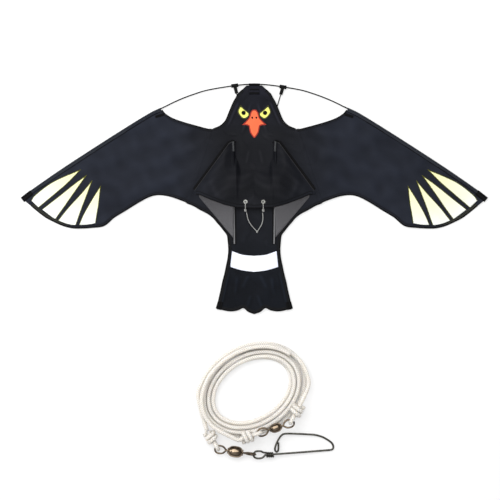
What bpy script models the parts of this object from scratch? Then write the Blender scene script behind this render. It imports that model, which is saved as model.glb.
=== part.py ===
"""Bird scarer kite: a hawk shaped cloth kite with its rods, bridle and line set.

The kite lies on its back with the belly up. +X is the viewer's right, +Y runs
to the head, +Z is up from the floor. All lengths are metres. Outline points
are shares of the half span (x) and of the body length (y).
"""
import math

import bmesh
import bpy
import numpy as np
from mathutils import Matrix, Vector

# Overall size
WINGSPAN = 1.100
BODY_LENGTH = 0.544
HALF_SPAN = WINGSPAN / 2

# Cloth and clearances
CLOTH = 0.0004
GAP = 0.0003
HEM_WIDTH = 0.0078
SEAM_GAP = 0.0004
INLAY_LAP = 0.002

# Rods
BOW_RADIUS = 0.0015
BRACE_RADIUS = 0.00125
KEEL_RADIUS = 0.0018
ROD_BREAK = 0.0010

# Height of the middle of the sail over the floor
SAIL_Z = 4 * BRACE_RADIUS + 2 * GAP + CLOTH / 2
LAYER = CLOTH + GAP

# Fittings
CONNECTOR_RADIUS = 0.00435
CONNECTOR_LENGTH = 0.0165
STEM_RADIUS = 0.0040
STEM_LENGTH = 0.0190
STEM_TILT = math.radians(4.0)
EYELET_RADIUS = 0.0047
EYELET_HOLE = 0.0024
BRIDLE_RADIUS = 0.0009
BRIDLE_SAG = 0.0022
BRIDLE_BOW = 0.0060
CAP_RADIUS = 0.0032
CAP_LENGTH = 0.022
HEAD_POCKET_HALF = 0.0132
HEAD_POCKET_DEPTH = 0.026

# Belly panel
BELLY_RISE = 0.0170
BELLY_HEM = 0.0072
BELLY_SHOULDER = 0.0102
BELLY_NOTCH = 0.0015
BELLY_PUFF = 0.0065

# Line set
CORD_RADIUS = 0.00495
CORD_PITCH = 2 * CORD_RADIUS + 0.0010
CORD_LAYER = 2 * CORD_RADIUS + 0.0006
KNOT_RADIUS = 2 * CORD_RADIUS + 0.0005
KNOT_REACH = 0.0104
EYE_LENGTH = 0.0295
KNOT_STAND = 0.0245
KNOT_A_TURN = math.radians(-60.0)
KNOT_B_TURN = math.radians(62.0)
EYE_WIDTH = 0.0180
RING_WIDTH = 0.0172
BARREL_WALL = 0.0020
RING_ROLL = 72.0
LINK_GAP = 0.0007
BARREL_A = (-0.0448, -0.5959)
BARREL_A_SLOPE = math.radians(-8.0)
BARREL_B = (0.0503, -0.5378)
BARREL_B_SLOPE = math.radians(17.4)
AXIS_A_Z = 0.0140
KNOT_A_Z = KNOT_RADIUS + CORD_RADIUS + 0.0009
AXIS_B_Z = 2 * CORD_RADIUS + CORD_LAYER + KNOT_RADIUS + CORD_RADIUS + 0.0006
COIL_TURNS = 6.60
COIL_SWING = 0.0120
COIL_START = math.radians(217.5)
WIRE_RADIUS = 0.0021
BARREL_A_RADIUS = 0.0137
BARREL_A_LENGTH = 0.0375
BARREL_B_RADIUS = 0.0112
BARREL_B_LENGTH = 0.0300
COIL_A = 0.1362
COIL_B = 0.1076
COIL_TILT = math.radians(30.0)
COIL_CENTRE = (-0.0042, -0.4526)

# Outlines, right half, as shares
HEAD_SIDE_SHARES = [
    (0.0, 0.4905), (0.033, 0.4905), (0.053, 0.472), (0.071, 0.454), (0.08, 0.437),
    (0.09, 0.42), (0.105, 0.385), (0.119, 0.35), (0.129, 0.333), (0.148, 0.316),
    (0.176, 0.304), (0.1835, 0.303)]
WING_TOP_SHARES = [
    (0.195, 0.302), (0.249, 0.316), (0.307, 0.333), (0.352, 0.35), (0.381, 0.368),
    (0.395, 0.385), (0.403, 0.394)]
LEADING_SHARES = [
    (0.403, 0.394), (0.455, 0.368), (0.568, 0.298), (0.703, 0.211), (0.833, 0.125),
    (0.957, 0.038), (1.0, 0.005)]
TIP_SHARES = [
    (1.0, 0.005), (0.981, -0.012), (0.958, -0.031), (0.937, -0.049), (0.916, -0.066),
    (0.891, -0.084), (0.858, -0.101), (0.82, -0.118), (0.785, -0.127), (0.751, -0.129),
    (0.695, -0.126), (0.644, -0.118)]
TRAILING_SHARES = [
    (0.603, -0.084), (0.575, -0.066), (0.547, -0.049), (0.519, -0.031), (0.491, -0.014),
    (0.46, 0.003), (0.433, 0.013), (0.406, 0.016), (0.373, 0.012), (0.342, 0.003),
    (0.297, -0.014)]
BODY_SIDE_SHARES = [
    (0.262, -0.031), (0.231, -0.049), (0.199, -0.066), (0.176, -0.084), (0.162, -0.101),
    (0.147, -0.118), (0.133, -0.136), (0.12, -0.153), (0.116, -0.162), (0.113, -0.188),
    (0.111, -0.222), (0.114, -0.257), (0.121, -0.292), (0.128, -0.326), (0.137, -0.361),
    (0.144, -0.396), (0.152, -0.431), (0.161, -0.474)]
TAIL_SHARES = [
    (0.161, -0.474), (0.129, -0.484), (0.098, -0.488), (0.069, -0.483), (0.047, -0.474),
    (0.026, -0.49), (0.0, -0.5)]
HINGE_SHARES = [(0.124, 0.487), (0.288, -0.021)]
BOW_SHARES = [
    (0.0, 0.4955), (0.043, 0.4945), (0.103, 0.4875), (0.199, 0.471), (0.257, 0.4535),
    (0.303, 0.4365), (0.344, 0.4185), (0.382, 0.3995), (0.400, 0.3895)]
CONNECTOR_SHARES = {1: 0.123, -1: 0.084}
BAND_SHARES = [(0.0, -0.248), (0.05, -0.243), (0.095, -0.227), (0.102, -0.296),
               (0.05, -0.311), (0.0, -0.317)]
EYE_SHARES = [(0.057, 0.4), (0.067, 0.377), (0.058, 0.359), (0.045, 0.35), (0.03, 0.357),
              (0.025, 0.37), (0.042, 0.385)]
PUPIL_SHARE = (0.046, 0.372)
PUPIL_RADIUS = 0.0039
NOSTRIL_RADIUS = 0.0022
BEAK_SHARES = [(0.0, 0.384), (0.009, 0.38), (0.014, 0.373), (0.02, 0.35), (0.034, 0.332),
               (0.047, 0.32), (0.034, 0.32), (0.029, 0.325), (0.021, 0.316),
               (0.016, 0.289), (0.0, 0.266)]
NOSTRIL_SHARE = (0.009, 0.351)
FEATHER_SHARES = [
    [(0.742, 0.128), (0.863, 0.074), (0.938, 0.018), (0.957, -0.007), (0.924, -0.039),
     (0.850, 0.024), (0.798, 0.070)],
    [(0.717, 0.104), (0.773, 0.064), (0.836, 0.013), (0.911, -0.046), (0.853, -0.090),
     (0.811, -0.031), (0.767, 0.033)],
    [(0.693, 0.082), (0.742, 0.023), (0.797, -0.037), (0.842, -0.093), (0.803, -0.111),
     (0.764, -0.113), (0.736, -0.033), (0.712, 0.030)],
    [(0.658, 0.058), (0.693, 0.002), (0.730, -0.063), (0.752, -0.113), (0.680, -0.105),
     (0.667, -0.025)]]
KEEL_SHARES = [(0.085, -0.196), (0.092, 0.25)]
VENT_SHARES = [(0.228, 0.013), (0.0895, -0.0365), (0.091, -0.169)]
EYELET_SHARE = (0.038, -0.014)
BRIDLE_KNOT_SHARE = -0.0515
TOW_SHARE = (0.012, -0.143)

COLLECTION = "bird_scarer_kite"


def clear_scene():
    """Remove what the file holds before the kite is made."""
    for old in list(bpy.data.objects):
        bpy.data.objects.remove(old, do_unlink=True)
    for name in (COLLECTION, "cutters"):
        group = bpy.data.collections.new(name)
        bpy.context.scene.collection.children.link(group)


def place(shares, side=1):
    """Turn outline shares into metres on one side of the middle."""
    return [(side * x * HALF_SPAN, y * BODY_LENGTH) for x, y in shares]


def smooth(points, steps=3):
    """Pass a smooth line through the points, a few places to each span."""
    pts = [np.array(p, float) for p in points]
    pts = [2 * pts[0] - pts[1]] + pts + [2 * pts[-1] - pts[-2]]
    out = []
    for a, b, c, d in zip(pts, pts[1:], pts[2:], pts[3:]):
        for k in range(steps):
            t = k / steps
            out.append(0.5 * (2 * b + (c - a) * t + (2 * a - 5 * b + 4 * c - d) * t ** 2
                              + (3 * b - a - 3 * c + d) * t ** 3))
    out.append(pts[-2])
    return [tuple(p) for p in out]


def offset(points, distance, closed=False):
    """Move a flat line sideways, to its left when the distance is positive."""
    pts = np.array(points, float)[:, :2]
    if closed:
        ahead, behind = np.roll(pts, -1, 0), np.roll(pts, 1, 0)
    else:
        ahead = np.vstack([pts[1:], 2 * pts[-1] - pts[-2]])
        behind = np.vstack([2 * pts[0] - pts[1], pts[:-1]])
    u = (ahead - pts) / np.linalg.norm(ahead - pts, axis=1)[:, None]
    v = (pts - behind) / np.linalg.norm(pts - behind, axis=1)[:, None]
    along = (u + v) / np.linalg.norm(u + v, axis=1)[:, None]
    cosine = np.maximum(0.5, np.abs((along * u).sum(1)))[:, None]
    normal = np.stack([-along[:, 1], along[:, 0]], 1)
    return [tuple(p) for p in pts + normal * distance / cosine]


def material(name, colour, roughness, metallic=0.0):
    """Give each part its own plain material."""
    mat = bpy.data.materials.new(name)
    mat.use_nodes = True
    shader = mat.node_tree.nodes["Principled BSDF"]
    shader.inputs["Base Color"].default_value = (*colour, 1.0)
    shader.inputs["Roughness"].default_value = roughness
    shader.inputs["Metallic"].default_value = metallic
    return mat


LOOKS = {
    "cloth": ((0.020, 0.022, 0.030), 0.75, 0.0),
    "hem": ((0.009, 0.009, 0.010), 0.8, 0.0),
    "pale": ((0.9, 0.9, 0.72), 0.7, 0.0),
    "yellow": ((0.85, 0.85, 0.22), 0.6, 0.0),
    "orange": ((1.0, 0.16, 0.07), 0.6, 0.0),
    "rod": ((0.02, 0.02, 0.02), 0.35, 0.0),
    "grey": ((0.3, 0.3, 0.3), 0.4, 0.0),
    "vinyl": ((0.012, 0.012, 0.012), 0.35, 0.0),
    "mesh": ((0.11, 0.11, 0.11), 0.9, 0.0),
    "metal": ((0.6, 0.6, 0.58), 0.3, 1.0),
    "cord": ((0.7, 0.7, 0.66), 0.45, 0.0),
    "line": ((0.02, 0.02, 0.02), 0.7, 0.0),
    "bronze": ((0.20, 0.15, 0.09), 0.35, 1.0),
    "wire": ((0.07, 0.065, 0.06), 0.35, 1.0)}


def put(obj, look, smooth_faces=False):
    """Link an object to the kite's collection with its own material."""
    bpy.data.collections[COLLECTION].objects.link(obj)
    colour, roughness, metallic = LOOKS[look]
    obj.data.materials.append(material(obj.name + "_material", colour, roughness, metallic))
    if smooth_faces and obj.type == "MESH":
        obj.data.polygons.foreach_set("use_smooth", [True] * len(obj.data.polygons))
    return obj


def flat_sheet(name, look, outlines, z, thickness=CLOTH):
    """Cut a flat sheet from one or more closed outlines; inner ones are holes."""
    curve = bpy.data.curves.new(name, "CURVE")
    curve.dimensions = "2D"
    curve.fill_mode = "BOTH"
    curve.extrude = thickness / 2
    for outline in outlines:
        spline = curve.splines.new("POLY")
        spline.points.add(len(outline) - 1)
        for point, spot in zip(spline.points, outline):
            point.co = (spot[0], spot[1], 0, 1)
        spline.use_cyclic_u = True
    obj = bpy.data.objects.new(name, curve)
    obj.location = (0, 0, z)
    return put(obj, look)


def new_mesh(name, points, faces):
    """Make a mesh object with its faces turned outward."""
    mesh = bpy.data.meshes.new(name)
    mesh.from_pydata([tuple(p) for p in points], [], faces)
    work = bmesh.new()
    work.from_mesh(mesh)
    bmesh.ops.recalc_face_normals(work, faces=work.faces[:])
    work.to_mesh(mesh)
    work.free()
    return bpy.data.objects.new(name, mesh)


def lofted(name, look, rows, thickness=CLOTH, smooth_faces=True):
    """Join rows of points into a sheet and give it its thickness."""
    across = len(rows[0])
    points = [p for row in rows for p in row]
    faces = [(r * across + c, r * across + c + 1, (r + 1) * across + c + 1,
              (r + 1) * across + c)
             for r in range(len(rows) - 1) for c in range(across - 1)]
    obj = put(new_mesh(name, points, faces), look, smooth_faces)
    skin = obj.modifiers.new("Thickness", "SOLIDIFY")
    skin.thickness = thickness
    skin.offset = 0
    return obj


def tube_mesh(points, radius, radii=None, resolution=1, cyclic=False, cyclic_caps=True):
    """Sweep a round tube along points and return it as a closed mesh."""
    curve = bpy.data.curves.new("tube", "CURVE")
    curve.dimensions = "3D"
    curve.bevel_depth = radius
    curve.bevel_resolution = resolution
    curve.use_fill_caps = not cyclic
    spline = curve.splines.new("POLY")
    spline.points.add(len(points) - 1)
    for k, (point, spot) in enumerate(zip(spline.points, points)):
        point.co = (*spot, 1)
        point.radius = 1.0 if radii is None else radii[k]
    spline.use_cyclic_u = cyclic
    obj = bpy.data.objects.new("tube", curve)
    bpy.context.scene.collection.objects.link(obj)
    graph = bpy.context.evaluated_depsgraph_get()
    mesh = bpy.data.meshes.new_from_object(obj.evaluated_get(graph))
    bpy.data.objects.remove(obj, do_unlink=True)
    work = bmesh.new()
    work.from_mesh(mesh)
    bmesh.ops.remove_doubles(work, verts=work.verts[:], dist=radius * 0.01)
    bmesh.ops.recalc_face_normals(work, faces=work.faces[:])
    work.to_mesh(mesh)
    work.free()
    return mesh


def joined(name, look, meshes, smooth_faces=True):
    """Put several separate closed solids into one named part."""
    work = bmesh.new()
    for mesh in meshes:
        work.from_mesh(mesh)
    out = bpy.data.meshes.new(name)
    work.to_mesh(out)
    work.free()
    obj = bpy.data.objects.new(name, out)
    return put(obj, look, smooth_faces)


def cylinder_mesh(start, end, radius, segments=16, radius_end=None):
    """Make a closed round bar between two points."""
    a, b = Vector(start), Vector(end)
    work = bmesh.new()
    bmesh.ops.create_cone(work, cap_ends=True, segments=segments, radius1=radius,
                          radius2=radius if radius_end is None else radius_end,
                          depth=(b - a).length)
    turn = (b - a).to_track_quat("Z", "Y").to_matrix().to_4x4()
    bmesh.ops.transform(work, matrix=Matrix.Translation((a + b) / 2) @ turn,
                        verts=work.verts[:])
    mesh = bpy.data.meshes.new("bar")
    work.to_mesh(mesh)
    work.free()
    return mesh


def cutter(mesh, name):
    """Keep a cutting solid out of sight in its own collection."""
    obj = bpy.data.objects.new(name, mesh)
    bpy.data.collections["cutters"].objects.link(obj)
    obj.hide_render = True
    obj.display_type = "WIRE"
    return obj


def combine(obj, mesh, name, operation):
    """Add a Boolean step that joins or cuts with another solid."""
    step = obj.modifiers.new(name, "BOOLEAN")
    step.operation = operation
    step.solver = "EXACT"
    step.object = cutter(mesh, obj.name + "_" + name)


def turned_mesh(profile, start, end, segments=20, closed=True):
    """Spin a profile of (distance along, radius) about the line start to end."""
    a, b = Vector(start), Vector(end)
    work = bmesh.new()
    verts = [work.verts.new((radius, 0, along)) for along, radius in profile]
    edges = [work.edges.new((verts[k], verts[(k + 1) % len(verts)]))
             for k in range(len(verts) if closed else len(verts) - 1)]
    bmesh.ops.spin(work, geom=verts + edges, cent=(0, 0, 0), axis=(0, 0, 1),
                   angle=2 * math.pi, steps=segments, use_merge=True)
    bmesh.ops.remove_doubles(work, verts=work.verts[:], dist=GAP * 0.01)
    bmesh.ops.recalc_face_normals(work, faces=work.faces[:])
    turn = (b - a).to_track_quat("Z", "Y").to_matrix().to_4x4()
    bmesh.ops.transform(work, matrix=Matrix.Translation(a) @ turn, verts=work.verts[:])
    mesh = bpy.data.meshes.new("turned")
    work.to_mesh(mesh)
    work.free()
    return mesh


# Wings: their pieces are drawn flat about the hinge line and drooped together
HINGE_TOP = (0.1834 * HALF_SPAN, 0.303 * BODY_LENGTH)
HINGE_LOW = (0.2880 * HALF_SPAN, -0.021 * BODY_LENGTH)
TIP = (LEADING_SHARES[-1][0] * HALF_SPAN, LEADING_SHARES[-1][1] * BODY_LENGTH)
NOSE = BOW_RADIUS + GAP + CLOTH / 2
ROD_INSET = NOSE + CLOTH / 2
FLAP = CLOTH + GAP
SAIL_TUCK = ROD_INSET + BOW_RADIUS + 0.0018
SLEEVE_DEPTH = 0.0088
POCKET_NOSE = NOSE + CLOTH + GAP
POCKET_LENGTH = 0.028
POCKET_DEPTH = 0.0125


def hinge_line():
    """Return the hinge direction and how far the tip stands off it."""
    along = Vector((HINGE_LOW[0] - HINGE_TOP[0], HINGE_LOW[1] - HINGE_TOP[1], 0))
    along.normalize()
    arm = Vector((TIP[0] - HINGE_TOP[0], TIP[1] - HINGE_TOP[1], 0))
    return along, along.cross(arm).z


def wing_frame(side, lift=0.0):
    """Place of a wing: turned about its hinge so the tip pocket meets the floor."""
    along, reach = hinge_line()
    droop = math.asin((SAIL_Z - POCKET_NOSE - CLOTH / 2) / reach)
    spot = Matrix.Translation((side * HINGE_TOP[0], HINGE_TOP[1], SAIL_Z))
    axis = Vector((along.x, side * along.y, 0))
    return spot @ Matrix.Rotation(-droop, 4, axis) @ Matrix.Translation((0, 0, lift))


def rel(points, side):
    """Measure right hand points from the hinge and mirror them for the left."""
    return [(side * (p[0] - HINGE_TOP[0]), p[1] - HINGE_TOP[1], *p[2:]) for p in points]


def turning(points):
    """Signed area of a closed outline, positive when it runs leftward."""
    pts = np.array(points)
    nxt = np.roll(pts, -1, 0)
    return float((pts[:, 0] * nxt[:, 1] - nxt[:, 0] * pts[:, 1]).sum() / 2)


def inset(points, distance):
    """Shrink a closed outline by a distance."""
    return offset(points, distance if turning(points) > 0 else -distance, closed=True)


def strip(path, width):
    """Make a flat band along a path, on its right hand side."""
    return list(path) + list(reversed(offset(path, -width)))


def mirrored(points):
    """Close a right half outline with its mirror image."""
    return list(points) + [(-x, y) for x, y in reversed(points) if abs(x) > 1e-9]


def disc(centre, radius, count):
    """Round outline about a point."""
    return [(centre[0] + radius * math.cos(a), centre[1] + radius * math.sin(a))
            for a in np.linspace(0, 2 * math.pi, count, endpoint=False)]


def body_edge():
    """Right side of the body from the hinge's foot round to the tail's middle."""
    side = [HINGE_LOW] + place(BODY_SIDE_SHARES)
    return smooth(side, 2)[:-1] + smooth(place(TAIL_SHARES), 2)


def add_body():
    """Body sail with the window behind the pale tail band, its hems and inlays."""
    head = smooth(place(HEAD_SIDE_SHARES[1:-1]), 2)
    right = [(0, HEAD_SIDE_SHARES[0][1] * BODY_LENGTH)] + head
    right += [(HINGE_TOP[0] - SEAM_GAP, HINGE_TOP[1]), (HINGE_LOW[0] - SEAM_GAP, HINGE_LOW[1])]
    right += body_edge()[1:]
    band = mirrored(place(BAND_SHARES))
    flat_sheet("body_sail", "cloth", [mirrored(right), inset(band, INLAY_LAP)], SAIL_Z)
    flat_sheet("tail_band", "pale", [band], SAIL_Z + LAYER)
    edge = body_edge()
    outer = edge[:-1] + [(-x, y) for x, y in reversed(edge)]
    inner = offset(outer, -HEM_WIDTH)
    flat_sheet("tail_hem", "hem", [outer + list(reversed(inner))], SAIL_Z + LAYER)
    side = smooth(place(HEAD_SIDE_SHARES[2:-1]), 2)
    half = strip(side, HEM_WIDTH * 0.75)
    beak = mirrored(place(BEAK_SHARES))
    hole = disc(place([NOSTRIL_SHARE])[0], NOSTRIL_RADIUS, 12)
    flat_sheet("beak", "orange", [beak, hole, [(-x, y) for x, y in hole]], SAIL_Z + LAYER)
    for sign, label in ((1, "right"), (-1, "left")):
        flat_sheet(label + "_head_hem", "hem", [[(sign * x, y) for x, y in half]],
                   SAIL_Z + LAYER)
        eye = smooth(place(EYE_SHARES + EYE_SHARES[:1], sign), 3)[:-1]
        pupil = disc(place([PUPIL_SHARE], sign)[0], PUPIL_RADIUS, 16)
        flat_sheet(label + "_eye", "yellow", [eye, pupil], SAIL_Z + LAYER)


def folded(name, look, path, nose, inset_depth, flap, depth, side=0, arc=7):
    """Fold a strip over a rod: a round nose and two flaps, swept along a path."""
    angles = np.linspace(-math.pi / 2, math.pi / 2, arc)
    profile = [(depth, -flap), (inset_depth + 1.25 * nose, -flap)]
    profile += [(inset_depth - nose * math.cos(a), nose * math.sin(a)) for a in angles]
    profile += [(inset_depth + 1.25 * nose, flap), (depth, flap)]
    pts = np.array(path, float)
    ends = np.array(offset(path, -1.0)) - pts
    unit = ends / np.linalg.norm(ends, axis=1)[:, None]
    rows = [[(p[0] + n[0] * u, p[1] + n[1] * u, z) for u, z in profile]
            for p, n in zip(pts, unit)]
    if side:
        rows = [rel(row, side) for row in rows]
    obj = lofted(name, look, rows)
    if side:
        obj.matrix_world = wing_frame(side)
    else:
        obj.location = (0, 0, SAIL_Z)
    return obj


def add_wing(side, label):
    """One wing: sail, hems, feathers, sleeve, rod and tip pocket."""
    leading = smooth(place(LEADING_SHARES), 2)
    tuck = offset(leading, -SAIL_TUCK)
    tip = smooth(place(TIP_SHARES[1:]), 2)
    trailing = smooth(place(TIP_SHARES[-1:] + TRAILING_SHARES), 2)
    top = smooth(place(WING_TOP_SHARES), 2)
    outline = [(HINGE_TOP[0] + SEAM_GAP, HINGE_TOP[1])] + top[:-3]
    outline += tuck + tip + trailing[1:] + [(HINGE_LOW[0] + SEAM_GAP, HINGE_LOW[1])]
    feathers = [place(shares) for shares in FEATHER_SHARES]
    holes = [inset(feather, INLAY_LAP) for feather in feathers]
    sail = flat_sheet(label + "_wing_sail", "cloth",
                      [rel(outline, side)] + [rel(hole, side) for hole in holes], 0)
    sail.matrix_world = wing_frame(side)
    for feather, name in zip(feathers, ("first", "second", "third", "fourth")):
        pale = flat_sheet(label + "_" + name + "_feather", "pale", [rel(feather, side)], 0)
        pale.matrix_world = wing_frame(side, LAYER)
    edge = smooth(place(TIP_SHARES[3:]), 2)[:-1] + trailing
    edge += [(HINGE_LOW[0] + SEAM_GAP, HINGE_LOW[1])]
    edge += [(HINGE_TOP[0] + SEAM_GAP, HINGE_TOP[1])] + top[1:-3]
    hem = flat_sheet(label + "_wing_hem", "hem", [rel(strip(edge, HEM_WIDTH), side)], 0)
    hem.matrix_world = wing_frame(side, 2 * LAYER)
    folded(label + "_leading_sleeve", "cloth", leading, NOSE, ROD_INSET, FLAP,
           SLEEVE_DEPTH, side)
    way = Vector(TIP) - Vector(leading[-2])
    way.normalize()
    far = Vector(TIP) + way * (2 * GAP + CLOTH)
    pocket = [tuple(far - way * POCKET_LENGTH), tuple(far)]
    folded(label + "_tip_pocket", "hem", pocket, POCKET_NOSE, ROD_INSET,
           FLAP + CLOTH + GAP, POCKET_DEPTH, side)
    inner = offset(leading, -ROD_INSET)
    bow = place(BOW_SHARES[:-1]) + [inner[0]]
    bow = smooth(bow, 3)
    rod_start = connector_end(1) + ROD_BREAK
    beyond = [p for p in bow[:-1] if p[0] > rod_start + ROD_BREAK]
    first = np.array(beyond[0])
    slope = (first - np.array(bow[bow.index(beyond[0]) - 1]))
    first = first - slope / slope[0] * (first[0] - rod_start - ROD_BREAK)
    rod = [tuple(first)] + beyond + inner[:-1]
    last = Vector(inner[-1]) - way * (GAP + CLOTH)
    rod.append(tuple(last))
    mesh = tube_mesh([(x, y, 0) for x, y in rel(rod, side)], BOW_RADIUS)
    obj = joined(label + "_wing_rod", "rod", [mesh])
    obj.matrix_world = wing_frame(side)


BRACE_HIGH = 3 * BRACE_RADIUS + GAP
BRACE_LOW = BRACE_RADIUS
TAIL_POCKET_SHARES = [(0.1455, -0.442), (0.1565, -0.476)]
TAB_HALF = 0.0048


def ease(t):
    """Go from 0 to 1 with a soft start and finish."""
    t = min(1.0, max(0.0, t))
    return t * t * (3 - 2 * t)


def saddle(name, look, start, end, radius, half, rod_rise, lift):
    """A strip sewn flat on both sides of a rod and humped over it."""
    a, b = np.array(start, float), np.array(end, float)
    way = (b - a) / np.linalg.norm(b - a)
    side = np.array([-way[1], way[0], 0])
    angles = np.linspace(math.pi, 0, 7)
    profile = [(-half, 0), (-radius * 1.5, 0)]
    profile += [(radius * math.cos(t), rod_rise + radius * math.sin(t)) for t in angles]
    profile += [(radius * 1.5, 0), (half, 0)]
    rows = []
    for share in (0, 0.5, 1):
        mid = a + (b - a) * share
        rows.append([mid + side * u + np.array([0, 0, lift * w]) for u, w in profile])
    return lofted(name, look, rows)


def connector_end(side):
    """Distance from the middle to just past the outer end of a T connector."""
    return CONNECTOR_SHARES[side] * HALF_SPAN + CONNECTOR_LENGTH / 2 + ROD_BREAK


def bow_height(x):
    """Height up the body of the bow rod at a distance from the middle."""
    line = smooth(place(BOW_SHARES), 3)
    return float(np.interp(x, [p[0] for p in line], [p[1] for p in line]))


def add_frame():
    """Bow rod over the head, T connectors, crossed brace rods and their pockets."""
    edge = connector_end(1)
    bow = [p for p in smooth(place(BOW_SHARES[:4]), 3) if p[0] < edge - ROD_BREAK]
    slope = (bow[-1][1] - bow[-2][1]) / (bow[-1][0] - bow[-2][0])
    bow.append((edge, bow[-1][1] + slope * (edge - bow[-1][0])))
    path = [(-x, y, SAIL_Z) for x, y in reversed(bow)] + [(x, y, SAIL_Z) for x, y in bow[1:]]
    joined("centre_bow_rod", "rod", [tube_mesh(path, BOW_RADIUS)])
    top = BOW_SHARES[0][1] * BODY_LENGTH + ROD_INSET
    nose = [(HEAD_POCKET_HALF * k, top - abs(k) * HEAD_POCKET_HALF * 0.02)
            for k in (-1, -0.5, 0, 0.5, 1)]
    folded("head_pocket", "hem", nose, NOSE, ROD_INSET, FLAP, HEAD_POCKET_DEPTH)
    for side, label, rod_z in ((1, "right", BRACE_HIGH), (-1, "left", BRACE_LOW)):
        reach = CONNECTOR_SHARES[side] * HALF_SPAN
        centre = Vector((side * reach, bow_height(reach), SAIL_Z))
        tail = Vector((*place([TAIL_POCKET_SHARES[1]], -side)[0], BRACE_HIGH))
        flat = Vector((tail.x - centre.x, tail.y - centre.y, 0)).normalized()
        stem = (flat - Vector((0, 0, math.tan(STEM_TILT)))).normalized()
        rise = bow_height(reach + CONNECTOR_LENGTH / 2) - bow_height(reach - CONNECTOR_LENGTH / 2)
        lean = Vector((CONNECTOR_LENGTH, side * rise, 0)).normalized()
        arm = cylinder_mesh(centre - lean * CONNECTOR_LENGTH / 2,
                            centre + lean * CONNECTOR_LENGTH / 2, CONNECTOR_RADIUS, 20)
        tee = put(bpy.data.objects.new(label + "_bow_connector", arm), "vinyl", False)
        foot = centre + stem * STEM_LENGTH
        combine(tee, cylinder_mesh(centre + stem * STEM_RADIUS / 4, foot, STEM_RADIUS, 20),
                "stem", "UNION")
        combine(tee, cylinder_mesh(centre - lean * CONNECTOR_LENGTH,
                                   centre + lean * CONNECTOR_LENGTH,
                                   BOW_RADIUS + GAP, 16), "bow_bore", "DIFFERENCE")
        bore = centre + stem * (BOW_RADIUS + GAP + 0.002)
        combine(tee, cylinder_mesh(bore, foot + stem * STEM_RADIUS, BRACE_RADIUS + 2 * GAP, 16),
                "stem_bore", "DIFFERENCE")
        start = bore + stem * GAP
        out = foot + stem * 0.0005
        path = [tuple(start), tuple(out)]
        end = tail - flat * (GAP * 4)
        for u in (0.02, 0.05, 0.09, 0.14, 0.2, 0.26, 0.33, 0.45, 0.58, 0.68, 0.76, 0.84, 0.92,
                  1.0):
            spot = out.lerp(end, u)
            if side > 0:
                z = rod_z + (out.z - rod_z) * max(0.0, 1 - u / 0.05) ** 2
            else:
                z = rod_z + (out.z - rod_z) * max(0.0, 1 - u / 0.33) ** 2.2
                z += (BRACE_HIGH - rod_z) * ease((u - 0.58) / 0.34)
            path.append((spot.x, spot.y, z))
        joined(label + "_brace_rod", "rod", [tube_mesh(path, BRACE_RADIUS)])
        patch = place(TAIL_POCKET_SHARES, -side)
        name = ("left" if side > 0 else "right") + "_tail_pocket"
        low = SAIL_Z - LAYER
        hump = BRACE_RADIUS + GAP + CLOTH / 2
        far = Vector((*patch[1], low)) + flat * 0.0012
        saddle(name, "hem", far - flat * 0.017, far, hump, TAB_HALF,
               low - BRACE_HIGH, -1)


BELLY_X_SHARES = [0, 0.06, 0.077, 0.082, 0.107, 0.261]
BELLY_TOP_SHARES = [0.12, 0.133, 0.177, 0.251, 0.242, 0.031]
BELLY_LOW_X_SHARES = [0, 0.077, 0.129, 0.193, 0.236, 0.261]
BELLY_LOW_SHARES = [-0.042, -0.038, -0.025, -0.001, 0.018, 0.019]
BELLY_HALF_SHARE = BELLY_X_SHARES[-1]
BELLY_COLUMNS_SHARES = [0, 0.012, 0.026, 0.038, 0.05, 0.06, 0.0685, 0.077, 0.082, 0.0945,
                        0.107, 0.13, 0.155, 0.18, 0.205, 0.23, 0.25, 0.261]
BELLY_ROW_SHARES = [0, 0.05, 0.12, 0.2, 0.3, 0.4, 0.52, 0.65, 0.8, 0.92, 1.0]


def belly_height(x, v):
    """Height of the belly cloth over the sail, from lower edge (0) to top edge (1)."""
    w = min(1.0, abs(x) / BELLY_HALF_SHARE)
    low = LAYER + BELLY_RISE * (1 - w * w) ** 1.3
    top = np.interp(abs(x), [0, 0.06, 0.077, 0.107, 0.16, 0.21, 0.261],
                    [BELLY_NOTCH, BELLY_NOTCH * 1.2, BELLY_SHOULDER, BELLY_SHOULDER,
                     BELLY_SHOULDER * 0.45, BELLY_SHOULDER * 0.16, LAYER])
    puff = BELLY_PUFF * math.sin(math.pi * v) * (1 - w * w)
    return low * (1 - v) ** 1.2 + float(top) * v + puff


def belly_spot(x, v, rise=0.0):
    """Point of the belly cloth at a share across and a share up the panel."""
    y_low = np.interp(abs(x), BELLY_LOW_X_SHARES, BELLY_LOW_SHARES)
    y_top = np.interp(abs(x), BELLY_X_SHARES, BELLY_TOP_SHARES)
    y = float(y_low + (y_top - y_low) * v)
    return Vector((x * HALF_SPAN, y * BODY_LENGTH, SAIL_Z + belly_height(x, v) + rise))


def belly_share(x, y):
    """Share up the panel of a point given by its shares of span and length."""
    y_low = np.interp(abs(x), BELLY_LOW_X_SHARES, BELLY_LOW_SHARES)
    y_top = np.interp(abs(x), BELLY_X_SHARES, BELLY_TOP_SHARES)
    return float((y - y_low) / (y_top - y_low))


def eyelet_frame(side):
    """Middle and outward direction of an eyelet on the belly cloth."""
    x, y = EYELET_SHARE
    v = belly_share(x, y)
    step = 0.004
    spot = belly_spot(side * x, v)
    across = belly_spot(side * x + step, v) - belly_spot(side * x - step, v)
    up = belly_spot(side * x, v + step) - belly_spot(side * x, v - step)
    normal = across.cross(up).normalized()
    return spot, normal


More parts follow.
